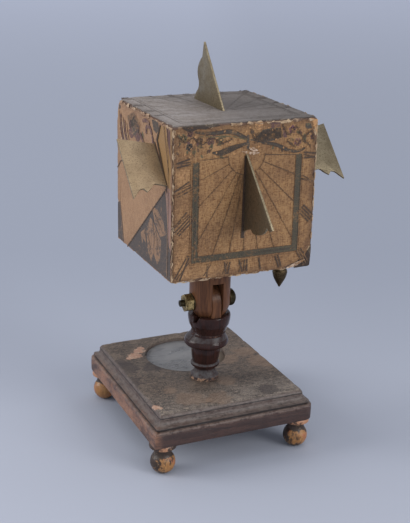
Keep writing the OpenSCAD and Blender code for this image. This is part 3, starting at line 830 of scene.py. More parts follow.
# Borders of a paper
LOWER, RIGHT, UPPER, LEFT = range(4)


def tear(face, border, at):
    """How far a paper's torn border lies inside the block's edge."""
    seed = Vector((7.3 * border, 3.1 * list(FACES).index(face), at * 0.16))
    fine = abs(noise.noise(seed * 3.1))
    broad = max(0.0, noise.noise(seed) - 0.12)
    gap = 0.35 + 0.7 * fine + 2.2 * broad
    if face == "south" and border == LOWER:
        gap += 3.0 * max(0.0, min(1.0, (at - 19) / 11))
    return gap


def paper_sheet(face):
    """A sheet glued to the block, torn along its borders."""
    shape, steps = Shape(), 96
    wide, high = half_size(face)
    share = [k / steps for k in range(steps + 1)]
    points = []
    for t in share:
        for s in share:
            u, v = wide * (2 * s - 1), high * (2 * t - 1)
            left, right = -wide + tear(face, LEFT, v), wide - tear(face, RIGHT, v)
            low, top = -high + tear(face, LOWER, u), high - tear(face, UPPER, u)
            points.append((left + (right - left) * s, low + (top - low) * t))
    shape.add([on_cube(face, u, v, PAPER) for u, v in points], grid_faces(steps))
    side = steps + 1
    border = list(range(steps)) + [side * j + steps for j in range(steps)]
    border += [side * steps + steps - i for i in range(steps)]
    border += [side * (steps - j) for j in range(steps)]
    in_wood = -0.02
    shape.loft([[on_cube(face, *points[i], lift) for i in border] for lift in (in_wood, PAPER)],
               caps=(False, False))
    shape.piece(f"dial_{face}_paper", "head", paper_finish(face), slot="dial_paper",
                replaces=(f"dial_{face}",), closed=False, crease=50)


# Marks that repeat, made flat in millimetres before they are laid on a face
class Marks(Nodes):
    """Nodes that grow marks from flat points."""

    def spin(self, angle):
        """A turn in the flat."""
        about = self.put("ShaderNodeCombineXYZ", {"Z": angle}).outputs[0]
        return self.put("FunctionNodeEulerToRotation", {0: about}).outputs[0]

    def copies(self, points, mark, turn):
        return self.put("GeometryNodeInstanceOnPoints", {
            "Points": points, "Instance": mark, "Rotation": turn}).outputs[0]

    def finish(self, copies, finish):
        real = self.put("GeometryNodeRealizeInstances", {"Geometry": copies}).outputs[0]
        made = self.put("GeometryNodeSetMaterial", {"Geometry": real, "Material": finish})
        return self.end(Geometry=made.outputs[0])


def new_marks(name, inputs):
    inputs = {"Geometry": "g", **inputs, "Finish": "m"}
    marks = Marks(new_tree(name, "GeometryNodeTree", inputs, {"Geometry": "g"}))
    return marks, marks.put("NodeGroupInput").outputs


def strokes_on_path_tree():
    """Short strokes across a path, slanted and a little uneven."""
    marks, given = new_marks("strokes_on_path", {
        "Spacing": "f", "Length": "f", "Width": "f", "Slant": "f", "Unevenness": "f", "Seed": "i"})
    path = marks.put("GeometryNodeMeshToCurve", {"Mesh": given["Geometry"]}).outputs[0]
    dots = marks.put("GeometryNodeCurveToPoints", {"Curve": path, "Length": given["Spacing"]},
                     mode="LENGTH").outputs
    stroke = marks.put("GeometryNodeMeshGrid", {
        "Size X": given["Width"], "Size Y": given["Length"], "Vertices X": 2, "Vertices Y": 3})
    facing = marks.put(
        "FunctionNodeAlignRotationToVector", {"Vector": dots["Tangent"]}, axis="X")
    uneven = given["Unevenness"]
    sway = marks.put("FunctionNodeRandomValue", {
        2: marks.times(uneven, -1.0), 3: uneven, "Seed": given["Seed"]}).outputs[1]
    swayed = marks.put("FunctionNodeRotateRotation", {
        "Rotation": facing.outputs[0],
        "Rotate By": marks.spin(marks.calc("ADD", given["Slant"], sway)),
    }, rotation_space="LOCAL")
    copies = marks.copies(dots["Points"], stroke.outputs[0], swayed.outputs[0])
    return marks.finish(copies, given["Finish"])


def marks_in_ring_tree():
    """Copies of a flat mark that points up, set round a circle and pointing outwards."""
    marks, given = new_marks("marks_in_ring", {"Count": "i", "Radius": "f", "Turn": "f"})
    circle = marks.put("GeometryNodeMeshCircle", {
        "Vertices": given["Count"], "Radius": given["Radius"]})
    step = marks.calc("DIVIDE", 2 * math.pi, given["Count"])
    angle = marks.times(marks.put("GeometryNodeInputIndex").outputs[0], step)
    outwards = marks.spin(marks.calc("SUBTRACT", angle, math.pi / 2))
    copies = marks.copies(circle.outputs[0], given["Geometry"], outwards)
    whole = marks.put("GeometryNodeTransform", {
        "Geometry": copies, "Rotation": marks.spin(given["Turn"])})
    return marks.finish(whole.outputs[0], given["Finish"])


STROKES_ON_PATH = strokes_on_path_tree()
MARKS_IN_RING = marks_in_ring_tree()


def grown(tree, points, edges, faces, **values):
    """The flat mesh that a tree makes from flat points, with its inputs set."""
    mesh = bpy.data.meshes.new("flat")
    mesh.from_pydata([(u, v, 0) for u, v in points], edges, faces)
    holder = linked("flat", mesh)
    modifier = holder.modifiers.new("grow", "NODES")
    modifier.node_group = tree
    for item in tree.interface.items_tree:
        if item.in_out == "INPUT" and item.name in values:
            modifier[item.identifier] = values[item.name]
    return baked(holder)


# Drawing, with u to the right and v up from the middle of what is drawn on
def oblong(left, right, low, high):
    return [(left, low), (right, low), (right, high), (left, high)]


def pointed_oval(length, width, count=14):
    """A leaf's outline from its stem at the origin to its tip, pointing up."""
    share = [k / count for k in range(count + 1)]
    right = [(width / 2 * math.sin(math.pi * t) ** 0.8, length * t) for t in share]
    return right + [(-u, v) for u, v in right[-2:0:-1]]


def turned(points, angle, u=0.0, v=0.0):
    c, s = math.cos(angle), math.sin(angle)
    return [(u + x * c - y * s, v + x * s + y * c) for x, y in points]


# Lines and washes are cut into parts no longer than this, to follow what they lie on
FINE = 2.5


def cut_fine(path):
    """The same path of points, with none of its parts longer than the limit."""
    fine = []
    for a, b in zip(map(Vector, path), map(Vector, path[1:])):
        cuts = max(1, math.ceil((b - a).length / FINE))
        fine += [a.lerp(b, k / cuts) for k in range(cuts)]
    return fine + [Vector(path[-1])]


def fine_steps(values):
    low, high = min(values), max(values)
    return [low + k * FINE for k in range(int((high - low) / FINE) + 1)]


def borders(line):
    """The right and the left border of a line, whose points are u, v and width."""
    right, left = [], []
    for i, p in enumerate(line):
        ahead = heading(line, i).to_2d().normalized()
        u, v = -ahead.y * p.z / 2, ahead.x * p.z / 2
        right.append((p.x - u, p.y - v))
        left.append((p.x + u, p.y + v))
    return right, left


# How much each wash lies over the one before, and where washes and lines begin
LAYER, FIRST_WASH, FIRST_LINE, LINE_LEVELS = 0.0015, 5, 200, 6
# Letters: how broad each is, and for each of its strokes the top, the foot and the thickness
BREADTH = {"I": 1.25, "V": 2.2, "X": 2.3}
STROKES = {
    "I": [(0, 0, 0.65)],
    "V": [(-0.8, 0, 0.75), (0.8, 0, 0.4)],
    "X": [(-0.85, 0.85, 0.75), (0.85, -0.85, 0.4)],
}


class Drawing:
    """What is drawn on a face, a shape for each ink, laid down together."""

    def __init__(self, place, finish):
        self.place, self.finish = place, finish
        self.inks, self.washes, self.lines = {}, 0, 0

    def ink(self, name):
        return self.inks.setdefault(name, Shape())

    def wash_level(self):
        """A height over the paper: each wash lies over those before it, so none share a plane."""
        self.washes += 1
        return LAYER * (FIRST_WASH + self.washes)

    def line_level(self):
        """A height over all the washes, a little different for lines that cross."""
        self.lines += 1
        return LAYER * (FIRST_LINE + self.lines % LINE_LEVELS)

    def line(self, path, width, ink="black"):
        """A drawn line; its width is one number, or one for each point."""
        lift = self.line_level()
        widths = width if isinstance(width, (list, tuple)) else [width] * len(path)
        line = cut_fine([(*p, w) for p, w in zip(path, widths)])
        points = [self.place(*p, lift) for pair in zip(*borders(line)) for p in pair]
        faces = [(2 * i, 2 * i + 2, 2 * i + 3, 2 * i + 1) for i in range(len(line) - 1)]
        self.ink(ink).add(points, faces)

    def area(self, outline, ink):
        """A washed area, cut fine enough to follow what it lies on."""
        lift = self.wash_level()
        border = cut_fine([*outline, outline[0]])[:-1]
        us, vs = [p[0] for p in border], [p[1] for p in border]
        grid = [Vector((u + 0.01, v + 0.02)) for u in fine_steps(us) for v in fine_steps(vs)]
        only_inside = 1
        flat, _, faces, *_ = delaunay_2d_cdt(
            border + grid, [], [list(range(len(border)))], only_inside, 1e-5)
        self.ink(ink).add([self.place(p.x, p.y, lift) for p in flat], faces)

    def hatched(self, path, spacing, length, width, slant, ink, seed):
        """Strokes across a path."""
        edges = [(k, k + 1) for k in range(len(path) - 1)]
        flat = grown(STROKES_ON_PATH, path, edges, [], Spacing=spacing, Length=length, Width=width,
                     Slant=slant, Unevenness=0.16, Seed=seed, Finish=self.finish(ink))
        self.ink(ink).take(flat, self.place, self.line_level())

    def ringed(self, outline, count, radius, u, v, ink, turn=0.0, on_top=False):
        """A mark repeated round a point."""
        flat = grown(MARKS_IN_RING, outline, [], [list(range(len(outline)))], Count=count,
                     Radius=radius, Turn=turn, Finish=self.finish(ink))
        lift = self.line_level() if on_top else self.wash_level()
        self.ink(ink).take(flat, lambda x, y, high: self.place(u + x, v + y, high), lift)

    def flower(self, u, v, size, ink, turn):
        petal = pointed_oval(size * 0.44, size * 0.44, 8)
        vein = pointed_oval(size * 0.3, size * 0.05, 6)
        self.ringed(petal, 5, size * 0.05, u, v, ink, turn)
        self.ringed(vein, 5, size * 0.1, u, v, "black", turn, True)

    def leaf(self, u, v, length, angle):
        self.area(turned(pointed_oval(length, length * 0.42), angle, u, v), "green")
        self.line(turned([(0, 0), (0, length * 0.9)], angle, u, v), [0.35, 0.12])

    def ribbon(self, path, widths):
        """A painted ribbon: a wash between two drawn edges."""
        right, left = borders(curve_through([(*p, w) for p, w in zip(path, widths)], 6))
        self.area(right + left[::-1], "dark")
        self.line(left, 0.28)
        self.line(right, 0.28)

    def numeral(self, text, u, v, up, size, pace=1.0, ink="black"):
        """A Roman numeral centred at u, v, its top towards the angle up; pace sets its breadth."""
        angle, half = up - math.pi / 2, size / 2
        whole = sum(BREADTH[letter] for letter in text)
        patch = oblong(-whole / 2 * pace, whole / 2 * pace, -half, half)
        self.area(turned(patch, angle, u, v), "faint")
        x = -whole / 2
        for letter in text:
            x += BREADTH[letter] / 2
            for top, foot, thick in STROKES[letter]:
                ends = [((x + foot) * pace, -half), ((x + top) * pace, half)]
                self.line(turned(ends, angle, u, v), thick * pace, ink)
            x += BREADTH[letter] / 2

    def lay(self, name, body, slot):
        for ink, shape in self.inks.items():
            shape.piece(f"{name}_{ink}", body, self.finish(ink), slot=slot, closed=False)


INK_FINISHES = {}


def drawing_on(face):
    def finish(ink):
        if (face, ink) not in INK_FINISHES:
            INK_FINISHES[face, ink] = ink_finish(face, ink)
        return INK_FINISHES[face, ink]

    return Drawing(lambda u, v, lift: on_cube(face, u, v, PAPER + lift), finish)


HOUR_NAMES = ["VI", "VII", "VIII", "IX", "X", "XI", "XII", "I", "II", "III", "IIII", "V", "VI"]


def box_hit(start, angle, left, right, low, high):
    """Where a line from start at that angle leaves a rectangle."""
    dx, dy = math.cos(angle), math.sin(angle)
    reach = []
    if abs(dx) > 1e-6:
        reach.append(((right if dx > 0 else left) - start[0]) / dx)
    if abs(dy) > 1e-6:
        reach.append(((high if dy > 0 else low) - start[1]) / dy)
    far = min(reach)
    return start[0] + dx * far, start[1] + dy * far


def fan(drawing, vertex, spread, towards, inner, margin, radius, hours,
        ink="hour", pace=1.0, figures="black"):
    """Hour lines that fan out from a vertex, with a numeral across the margin beyond each."""
    u, v = vertex
    for hour in hours:
        bend = math.pi / 2
        if abs(hour) != 6:
            bend = abs(math.atan(spread * math.tan(math.radians(15 * hour))))
        angle = towards * (math.pi / 2 - math.copysign(bend, hour))
        start = (u + radius * math.cos(angle), v + radius * math.sin(angle))
        drawing.line([start, box_hit(vertex, angle, *inner)], [0.26, 0.38], ink)
        near, far = (Vector(box_hit(vertex, angle, *box)) for box in margin)
        drawing.numeral(HOUR_NAMES[hour + 6], *near.lerp(far, 0.5), angle + math.pi,
                        (far - near).length, pace, figures)
    drawing.line([(u + x, v + towards * y) for x, y in arc(radius, 0, 180, 6)], 0.3, ink)


def u_band(drawing, left, right, low, high, width, seed):
    """A washed band on three sides of a dial, hatched along its middle."""
    def three_sides(inset):
        return [(left + inset, high), (left + inset, low + inset),
                (right - inset, low + inset), (right - inset, high)]

    outside, inside = three_sides(0), three_sides(width)
    drawing.area(outside + inside[::-1], "band")
    drawing.hatched(three_sides(width / 2), 0.85, width * 0.8, 0.22, 0.5, "dark", seed)
    drawing.line(outside, 0.3)
    drawing.line(inside, 0.3)


def bow(drawing):
    """A ribbon bow in a garland of small flowers and leaves, over a dial."""
    drawing.area([(10.8, 34.3), (16, 34), (16, 32), (11.4, 31.8)], "violet")
    drawing.area([(0.8, 27.2), (4.1, 28), (7.4, 31.2), (12.4, 31.8), (16, 31.5), (16.7, 27.3),
                  (13.6, 26.2), (7.1, 25.4)], "dark")
    drawing.area([(17, 31.3), (18.7, 31.1), (19.4, 27.1), (17.7, 27)], "violet")
    for path, widths in (
            ([(-0.4, 28.2), (-3.4, 29.6), (-6, 30.8), (-9.3, 31.6), (-14, 31.4), (-20, 31.6),
              (-25, 32.4)], [1.0, 1.4, 1.7, 1.8, 1.5, 1.2, 0.6]),
            ([(-0.4, 25.8), (-5.2, 24.7), (-10, 23.3), (-13, 22.5), (-16.6, 22.9)],
             [1.1, 2.0, 2.8, 2.2, 0.6]),
            ([(7, 25.6), (12.7, 24.6), (16.3, 23.2), (20, 21.4), (24.1, 20.5), (27.2, 21),
              (28.8, 21.8)], [0.8, 1.3, 1.5, 1.3, 1.1, 0.9, 0.4])):
        drawing.ribbon(path, widths)
    drawing.line([(0, 27.4), (-3.3, 28.4), (-7.3, 29.4), (-12.1, 29.9), (-16.4, 29.8),
                  (-23, 30.4)], 0.5, "green")
    drawing.hatched([(3, 27.6), (9.5, 28.8), (16.6, 29.4)], 0.62, 4.6, 0.26, 0.2, "black", 5)
    drawing.hatched([(-3, 25.2), (-10, 23.3), (-14, 22.7)], 0.8, 2.2, 0.2, 0.4, "black", 6)
    drawing.area([(-0.2, 29.4), (0.8, 29.4), (1.2, 25), (0.6, 22.4), (-0.4, 24.4)], "dark")
    for u, v, size, ink in (
            (22, 30.4, 4.0, "plum"), (24.9, 24.7, 4.0, "plum"), (32.6, 26.4, 3.0, "violet"),
            (-17.4, 28.2, 4.4, "violet"), (-30.1, 30, 4.2, "green"), (-27.2, 26, 3.8, "dark"),
            (-27, 31.8, 3.4, "violet"), (-22.8, 28.4, 3.8, "line"), (-12.8, 28.2, 3.0, "green")):
        drawing.flower(u, v, size, ink, u * 0.7)
    for leaf in (
            (-25, 21.6, 4.2, 0.0), (-17.8, 23.2, 4.0, -0.3), (28.4, 24, 4.2, 0.05),
            (-21, 25.4, 3.4, 1.2), (-32.4, 26.6, 2.8, -0.4), (20.4, 26.4, 2.8, -1.9),
            (26.2, 28, 3.0, 0.9), (-14.6, 26, 3.0, -1.3), (-10.8, 19.8, 2.8, 1.1)):
        drawing.leaf(*leaf)
    drawing.area([(28.5, 32.7), (31.1, 32.7), (31.8, 30.4), (29.7, 30.1), (28.4, 30.9)], "dark")
    for path in (
            [(-33, 31.4), (-29.6, 28.2), (-25.6, 30), (-21.4, 26.8), (-16.8, 29.6), (-12.6, 26.8),
             (-7.4, 28.2)],
            [(17, 32.6), (20.4, 28.2), (24, 31.6), (27.6, 26.6), (31.6, 29.4), (33, 24.6)],
            [(19.6, 25.6), (23.6, 22.8), (27, 25.4), (31.4, 22.4)]):
        stem = curve_through(path, 5)
        drawing.line(stem, 0.42, "line")
        drawing.hatched(stem, 1.5 if path[0][0] > 0 else 2.3, 1.7, 0.3, 0.5, "line", 7)
    for k in range(24):
        side = -1 if k % 3 else 1
        u = side * (8 + (k * 7) % 25) + (4 if side > 0 else 0)
        v = 27.2 + 4.8 * math.sin(k * 2.4)
        if abs(u) < 33.4:
            bud = turned(pointed_oval(2.0, 1.1, 6), k * 1.9, u, v)
            drawing.area(bud, ("line", "violet", "green", "line")[k % 4])
    for k in range(44):
        u = -32.4 + (k * 17) % 66 + 0.4 * (k % 3)
        v = 27 + 5.4 * math.sin(k * 2.9)
        drawing.area(turned(pointed_oval(1.2, 0.8, 4), k * 1.3, u, v), "gilt")


def frayed(drawing, start, end, width, seed):
    """A pale rubbed line along an edge, uneven and broken."""
    start, end = Vector(start), Vector(end)
    count = round((end - start).length / 1.2)
    across = (end - start).orthogonal().normalized()
    path, widths = [], []
    for k in range(count + 1):
        broad = noise.noise(Vector((k * 0.37, seed, 0.0)))
        fine = noise.noise(Vector((k * 0.9, seed + 5.0, 0.0)))
        path.append(start.lerp(end, k / count) + across * 0.5 * fine)
        widths.append(max(0.05, width * (0.2 + 1.9 * broad + 0.6 * fine)))
    drawing.line(path, widths, "bare")


def draw_south():
    """Hour lines of a south dial, with its band, numerals and bow."""
    drawing = drawing_on("south")
    left, right, low, high, width = -25.5, 27.3, -26.3, 19.0, 2.9
    u_band(drawing, left, right, low, high, width, 2)
    inner = (left + width, right - width, low + width, 40)
    margin = (left - 0.8, right + 0.8, low - 1.2, 40), (-33.4, 33.8, -33.2, 40)
    fan(drawing, (0.0, 20.9), 0.6, -1, inner, margin, 9.0, range(-5, 6))
    drawing.line([(left + width, 19.9), (-9, 20.4)], 0.3)
    drawing.line([(9, 20.2), (right - width, 18.9)], 0.3)
    drawing.numeral("VI", left - 4.4, 19.2, math.radians(8), 6.4)
    drawing.numeral("VI", right + 3.8, 18.2, math.radians(172), 6.4)
    # Painted shade: the dark slit along the south gnomon's foot
    drawing.line([(-0.8, 20.4), (-0.9, 4.0), (-0.9, -17.2)], [0.6, 1.2, 1.5], "dark_and_shade")
    drawing.line([(left - 0.9, 19), (left - 0.9, low - 0.9), (right + 0.9, low - 0.9),
                  (right + 0.9, 18.5)], 0.2, "faint")
    drawing.area([(-33.6, 32.6), (-33.4, 19.6), (-9, 21.4), (-4, 29.6), (-20, 33)], "glow")
    bow(drawing)
    drawing.area([(-33.8, 17), (-27, 16.6), (-26.8, -27), (-12, -28.6), (-12, -33.6),
                  (-33.8, -33.6)], "glow")
    drawing.area([(3.3, 34.6), (7.2, 34.5), (7.6, 32), (4.9, 31.3), (3.4, 32.3)], "gilt")
    drawing.area([(31.2, 34.6), (34.4, 34), (34.5, 27), (33.8, 28.8), (32, 32.8)], "gilt")
    for path, widths in (
            ([(-2.6, 22.4), (-0.1, 21.8), (1.6, 21.3), (4, 21.7)], [0.3, 1.1, 1.2, 0.4]),
            ([(0.8, 23.8), (3.0, 22.9), (5.2, 22.2)], [0.8, 1.7, 0.4]),
            ([(2.8, 20.9), (6.0, 21.3)], [0.9, 0.4]),
            ([(22.4, -34.2), (27, -33), (31.6, -31.2)], [0.6, 1.8, 0.6])):
        drawing.line(path, widths, "chalk")
    # A dark patch over the broken corner, in the same ink as the painted shade
    drawing.area([(26, -34.7), (34.8, -34.7), (34.8, -24), (31.4, -29.4)], "dark_and_shade")
    for k, (start, end, broad) in enumerate((
            ((-34.3, 34), (-34.3, 6), 1.4), ((-34.4, 6), (-34.4, -34), 0.45),
            ((-8, 34.4), (33, 34.3), 0.9), ((34.4, 33), (34.4, -24), 1.2),
            ((-34, -34.4), (22, -34.3), 1.2))):
        frayed(drawing, start, end, broad, k * 3.7)
    # Painted shade under the top edge, on the left
    drawing.area([(-31, 34.6), (-24, 34.9), (-14, 35), (-13, 34.3), (-18.4, 33.9), (-19.8, 33.2),
                  (-23.1, 33.8), (-26.2, 32.6), (-28.6, 33)], "dark_and_shade")
    drawing.area(turned(pointed_oval(2.6, 1.9), 0.3, 2.6, 29.4), "black")
    drawing.lay("south", "head", "dial_paper")


def draw_west(face, side):
    """An equator line over a dark wedge with pale leaves, and a scroll above it.

    A side of 1 draws it for the west, and -1 mirrors it for the east.
    """
    drawing = drawing_on(face)

    def flip(points):
        return [(side * u, v) for u, v in points]

    def area(outline, ink):
        drawing.area(flip(outline), ink)

    def line(path, width, ink="black"):
        drawing.line(flip(path), width, ink)

    def scroll(path, width, ink):
        curve = curve_through(path, 5)
        line(curve, [0.3] + [width] * (len(curve) - 2) + [0.3], ink)

    def leaves(places, breadth, ink):
        for u, v, length, angle in places:
            area(turned(pointed_oval(length, length * breadth), angle, u, v), ink)

    area([(20.9, 33.2), (25.6, 33.2), (32.4, 14.0), (33.4, 8.0), (29.4, 6.0), (17.6, 26)], "ochre")
    # Painted shadow along the edge of the ochre strip
    line([(21.4, 33.4), (17.8, 26.2), (28.6, 8.6), (29.6, 5.2)], [0.9, 1.5, 1.4, 0.5], "dark_and_shade")
    line([(29.2, 33.2), (31.2, 8.6), (30.6, -33)], [0.5, 0.4, 0.5], "faint")
    area([(27.4, 5.8), (-19.8, -34.0), (34.0, -34.0), (34.0, -20.0), (32.0, -18.0), (29.6, -4.0)],
         "slate")
    area([(27.8, 7.6), (29.4, -4.0), (32.0, -18.0), (34.2, -22.0), (34.2, 8.0)], "mauve")
    area([(25.6, 33.8), (33.8, 33.8), (33.8, 13.0), (32.4, 14.0)], "ochre")
    line([(25.6, 33.8), (31.6, 14.0)], [0.5, 0.3], "line")
    area([(27.6, 33.4), (32.4, 33.4), (33.2, 19)], "violet")
    frayed(drawing, (-34 * side, 34.2), (33 * side, 34.2), 1.3, 2.2)
    # Painted shadow along the gnomon plate's root
    line([(14.6, 24.6), (30.2, 7.6)], [1.0, 1.6], "dark_and_shade")
    line([(29.0, 7.1), (-20.4, -34.5)], 0.42)
    area([(11.6, -5.4), (18.4, -5.2), (25, -8.4), (28.6, -14), (22, -17), (15.2, -12.4)], "pale")
    area([(9.6, -11.4), (13, -12), (17, -15), (23, -18.4), (22, -27), (18.4, -31), (14, -27),
          (11, -32), (7, -28.6), (4.6, -20), (6.4, -16)], "pale")
    area([(-2.4, -22), (3.6, -18), (4.4, -25.4), (1.2, -24), (-0.6, -27)], "pale")
    for path in ([(13, -11), (15, -20), (14, -29)], [(7, -19.4), (10, -25), (9, -31)],
                 [(3, -20), (6, -26)], [(17, -15), (19, -22), (18, -28)],
                 [(15, -7.6), (20, -11), (24, -13.4)]):
        line(path, [0.35] * (len(path) - 1) + [0.1], "slate")
    # Painted shadow of the gnomon plate: a dark patch in the lower left, in the slate ink
    area([(-34, -16), (-30.5, -14.5), (-27.4, -25), (-25.6, -34), (-34, -34)], "slate")
    line([(-34, 1.5), (-29, 6), (-22.5, 8)], 0.5)
    line([(-29.6, -3), (-30.4, -14), (-26, -34)], 0.35, "faint")
    leaves(((-11.5, 21.4, 9, 0.7), (-11, 21, 10.4, 0.0), (-10.4, 21.4, 9, -0.7),
            (-11.4, 22, 7.4, 1.5), (-10.4, 22, 7.4, -1.5)), 0.62, "violet")
    area(turned(pointed_oval(9.2, 8.4), 0.0, -11, 21.6), "dark")
    drawing.hatched(flip([(-18, 27), (-11, 30), (-4, 26.4)]), 1.1, 6.0, 0.4, 0.2, "dark", 8)
    for k, u in enumerate((-31, -28.4, -26, -23.6, -21.2)):
        scroll([(u, 30 - k), (u + 1, 22), (u + 4.6, 16.2), (u + 8.6, 14.4)], 1.5,
               ("bare", "violet")[k % 2])
    for path in ([(-3, 25), (2, 21), (8, 19.4), (13, 22), (12, 27)],
                 [(-14, 15.4), (-6, 14.2), (4, 15), (12, 17.4)],
                 [(12, 27), (9, 30), (5, 29), (5, 26)], [(0, 31), (4, 32), (9, 31.4)]):
        scroll(path, 1.7, "violet")
    area([(11, 34), (13, 29.6), (16.5, 28.6), (19.6, 31), (18.6, 34)], "dark")
    area([(-34, 34), (-33.5, 30), (-29.6, 31), (-28.6, 34)], "dark")
    leaves(((-15, 15.4, 4.5, 1.9), (1, 22, 4.5, 0.4), (8, 16, 4, -0.9), (-24, 14, 4, 2.2)),
           0.5, "green")
    drawing.lay(face, "head", "dial_paper")


def draw_top():
    """A faint horizontal dial in a faint frame."""
    drawing = drawing_on("top")
    edge = 28.8
    inset = edge - 1.6
    for reach, width in ((edge, 0.5), (inset, 0.25)):
        square = oblong(-reach, reach, -reach, reach)
        drawing.line(square + square[:1], width, "faint")
    margin = [(-reach, reach, -reach, reach) for reach in (29.6, 33.6)]
    fan(drawing, (0.0, -10.5), 0.75, 1, (-inset, inset, -inset, inset), margin, 7.0, range(-6, 7),
        "faint", 0.8, "faint")
    drawing.lay("top", "head", "dial_paper")


def draw_north():
    """The early and late hours of a north dial, in the same band."""
    drawing = drawing_on("north")
    left, right, low, high, width = -26.4, 26.4, -26.3, 19.0, 2.9
    u_band(drawing, left, right, low, high, width, 3)
    inner = (left + width, right - width, low, 24.0)
    margin = (left - 0.8, right + 0.8, low, 40), (-33.4, 33.4, low, 40)
    fan(drawing, (0.0, -16.0), 0.6, 1, inner, margin, 9.0, [-6, -5, -4, -3, 3, 4, 5, 6])
    bow(drawing)
    drawing.lay("north", "head", "dial_paper")


# Base, pillar and feet
RECESS_R = GLASS_R + 0.1
BOX_R = CARD_R + 0.1
# How far the base's nicks are deeper beside a corner, and the least nick that is cut
CORNER_REACH, LEAST_NICK = 8, 0.02
# Radii of the base's corners, by their signs of x and y
ROUND_CORNERS = {(1, -1): 4.5, (-1, 1): 4.0, (1, 1): 2.5, (-1, -1): 0.8}


def rounded(inset, height, radius, start, end, wear, step=15):
    """Points of a moulding's arc about a centre, each with its wear."""
    return [(inset + x, height + y, wear) for x, y in arc(radius, start, end, step)]


def round_corner(x, y, half, share):
    """Moves a point near a corner of a rectangle onto that share of the corner's round."""
    sign = (1 if x > 0 else -1, 1 if y > 0 else -1)
    radius = ROUND_CORNERS[sign] * share
    past = Vector((abs(x) - half[0] + radius, abs(y) - half[1] + radius))
    if min(past) <= 0:
        return x, y
    past *= radius / past.length
    return sign[0] * (half[0] - radius + past.x), sign[1] * (half[1] - radius + past.y)


def plate_ring(inset, height, wear):
    """A rectangle round the base, nicked where it is worn."""
    half = (BASE_HALF.x - inset, BASE_HALF.y - inset)
    corners = oblong(-half[0], half[0], -half[1], half[1])
    share = 1.0 if height < 8.2 else 0.35
    points, steps = [], 72
    for a, b in zip(corners, corners[1:] + corners[:1]):
        length = abs(b[0] - a[0]) + abs(b[1] - a[1])
        for k in range(steps):
            t = k / steps
            x, y = round_corner(a[0] + (b[0] - a[0]) * t, a[1] + (b[1] - a[1]) * t, half, share)
            p = Vector((BASE.x + x, BASE.y + y, BASE_LOW + height))
            corner = max(0.0, 1 - min(t, 1 - t) * length / CORNER_REACH)
            nick = wear * (1.5 * max(0.0, noise.noise(p * 0.2) - 0.18) + 0.12 * noise.noise(p * 0.9)
                           + 0.5 * corner * max(0.0, noise.noise(p * 0.5) + 0.3))
            nick = nick if wear > 0 and nick > LEAST_NICK else 0.0
            p.x -= nick * 0.7 * x / half[0] * (abs(x) / half[0] > 0.97)
            p.y -= nick * 0.7 * y / half[1] * (abs(y) / half[1] > 0.97)
            p.z -= nick * 0.5
            points.append(p)
    return points


def base():
    """The moulded plate with the recess for its compass."""
    shape = Shape()
    profile = [(0.5, 0.0, 0.4), (0.12, 0.12, 0.5), (0.0, 0.5, 0.5), (0.0, 2.5, 0.1),
               (0.0, 4.8, 0.1)]
    profile += rounded(1.0, 7.0, 1.0, 180, 90, 1.0, 18)
    profile += [(1.55, 8.0, 0.3), (1.6, 8.05, -1.0), (1.6, 8.7, -0.9), (1.6, 9.4, 0.3)]
    profile += rounded(1.6, 11.8, 2.4, 270, 360, 0.15)
    profile += [(4.0, 12.4, 0.9), (4.0, 12.75, 0.9), (4.15, 12.8, -1.0)]
    profile += [(4.2, 13.2, -0.5)] + rounded(6.4, 12.8, 2.2, 180, 90, 0.7)[2:]
    rings = [plate_ring(*p) for p in profile]
    shape.loft(rings, [p[2] for p in profile], caps=(True, False))
    mouth = ring(COMPASS, RECESS_R + 0.35, BASE_TOP)
    top = [Vector((p.x, p.y, BASE_TOP)) for p in rings[-1]]
    shape.loft([rings[-1], top], caps=(False, False))
    shape.flat([top, mouth])
    well = [(RECESS_R + 0.1, BASE_TOP - 0.12), (RECESS_R, BASE_TOP - 0.4), (RECESS_R, GLASS_LOW),
            (BOX_R, GLASS_LOW), (BOX_R, CARD_TOP - 0.4)]
    shape.loft([mouth] + [ring(COMPASS, r, z) for r, z in well], caps=(False, True))
    shape.piece("base_moulded", "base", BASE_WOOD, slot="dark_wood", replaces=("base_plate",))


def lathe(shape, centre, profile, count=96, lower=None):
    """A turned form from radii, heights and wear; lower may cut a ring down at some angles."""
    rings = []
    for radius, height, _ in profile:
        turn = ring(centre, radius, height, count)
        rings.append([Vector((p.x, p.y, min(p.z, lower(p)))) for p in turn] if lower else turn)
    shape.loft(rings, [p[2] for p in profile])


# Where the cup's rim is broken and where it is scratched, in degrees from the east
NOTCH_AT, NOTCH_HALF = 205, 10
SCRATCH_AT, SCRATCH_HALF = 197, 8
CUP_RIM = 34.8
# How far the lower part of the pillar stands off the cup's axis, the height over the base where
# that ends, over how much height it fades, and the height below which it grows
LEAN = Vector((-1.1, 0.5))
LEAN_ENDS, LEAN_FADES, LEAN_GROWS = 26, 4, 18


def compass_angle(point):
    """A point's direction from the pillar, in degrees from the east, turning to the north."""
    return math.degrees(math.atan2(point.y, point.x)) % 360


def broken_rim(point):
    """The height at which the cup's rim has broken away, on its west side."""
    angle = compass_angle(point)
    gone = 1 - (abs(angle - NOTCH_AT) / NOTCH_HALF) ** 4
    if gone <= 0:
        return math.inf
    ragged = noise.noise(Vector((angle * 0.12, 0.0, 1.7)))
    return BASE_TOP + CUP_RIM - gone * (3.4 + 1.4 * ragged)


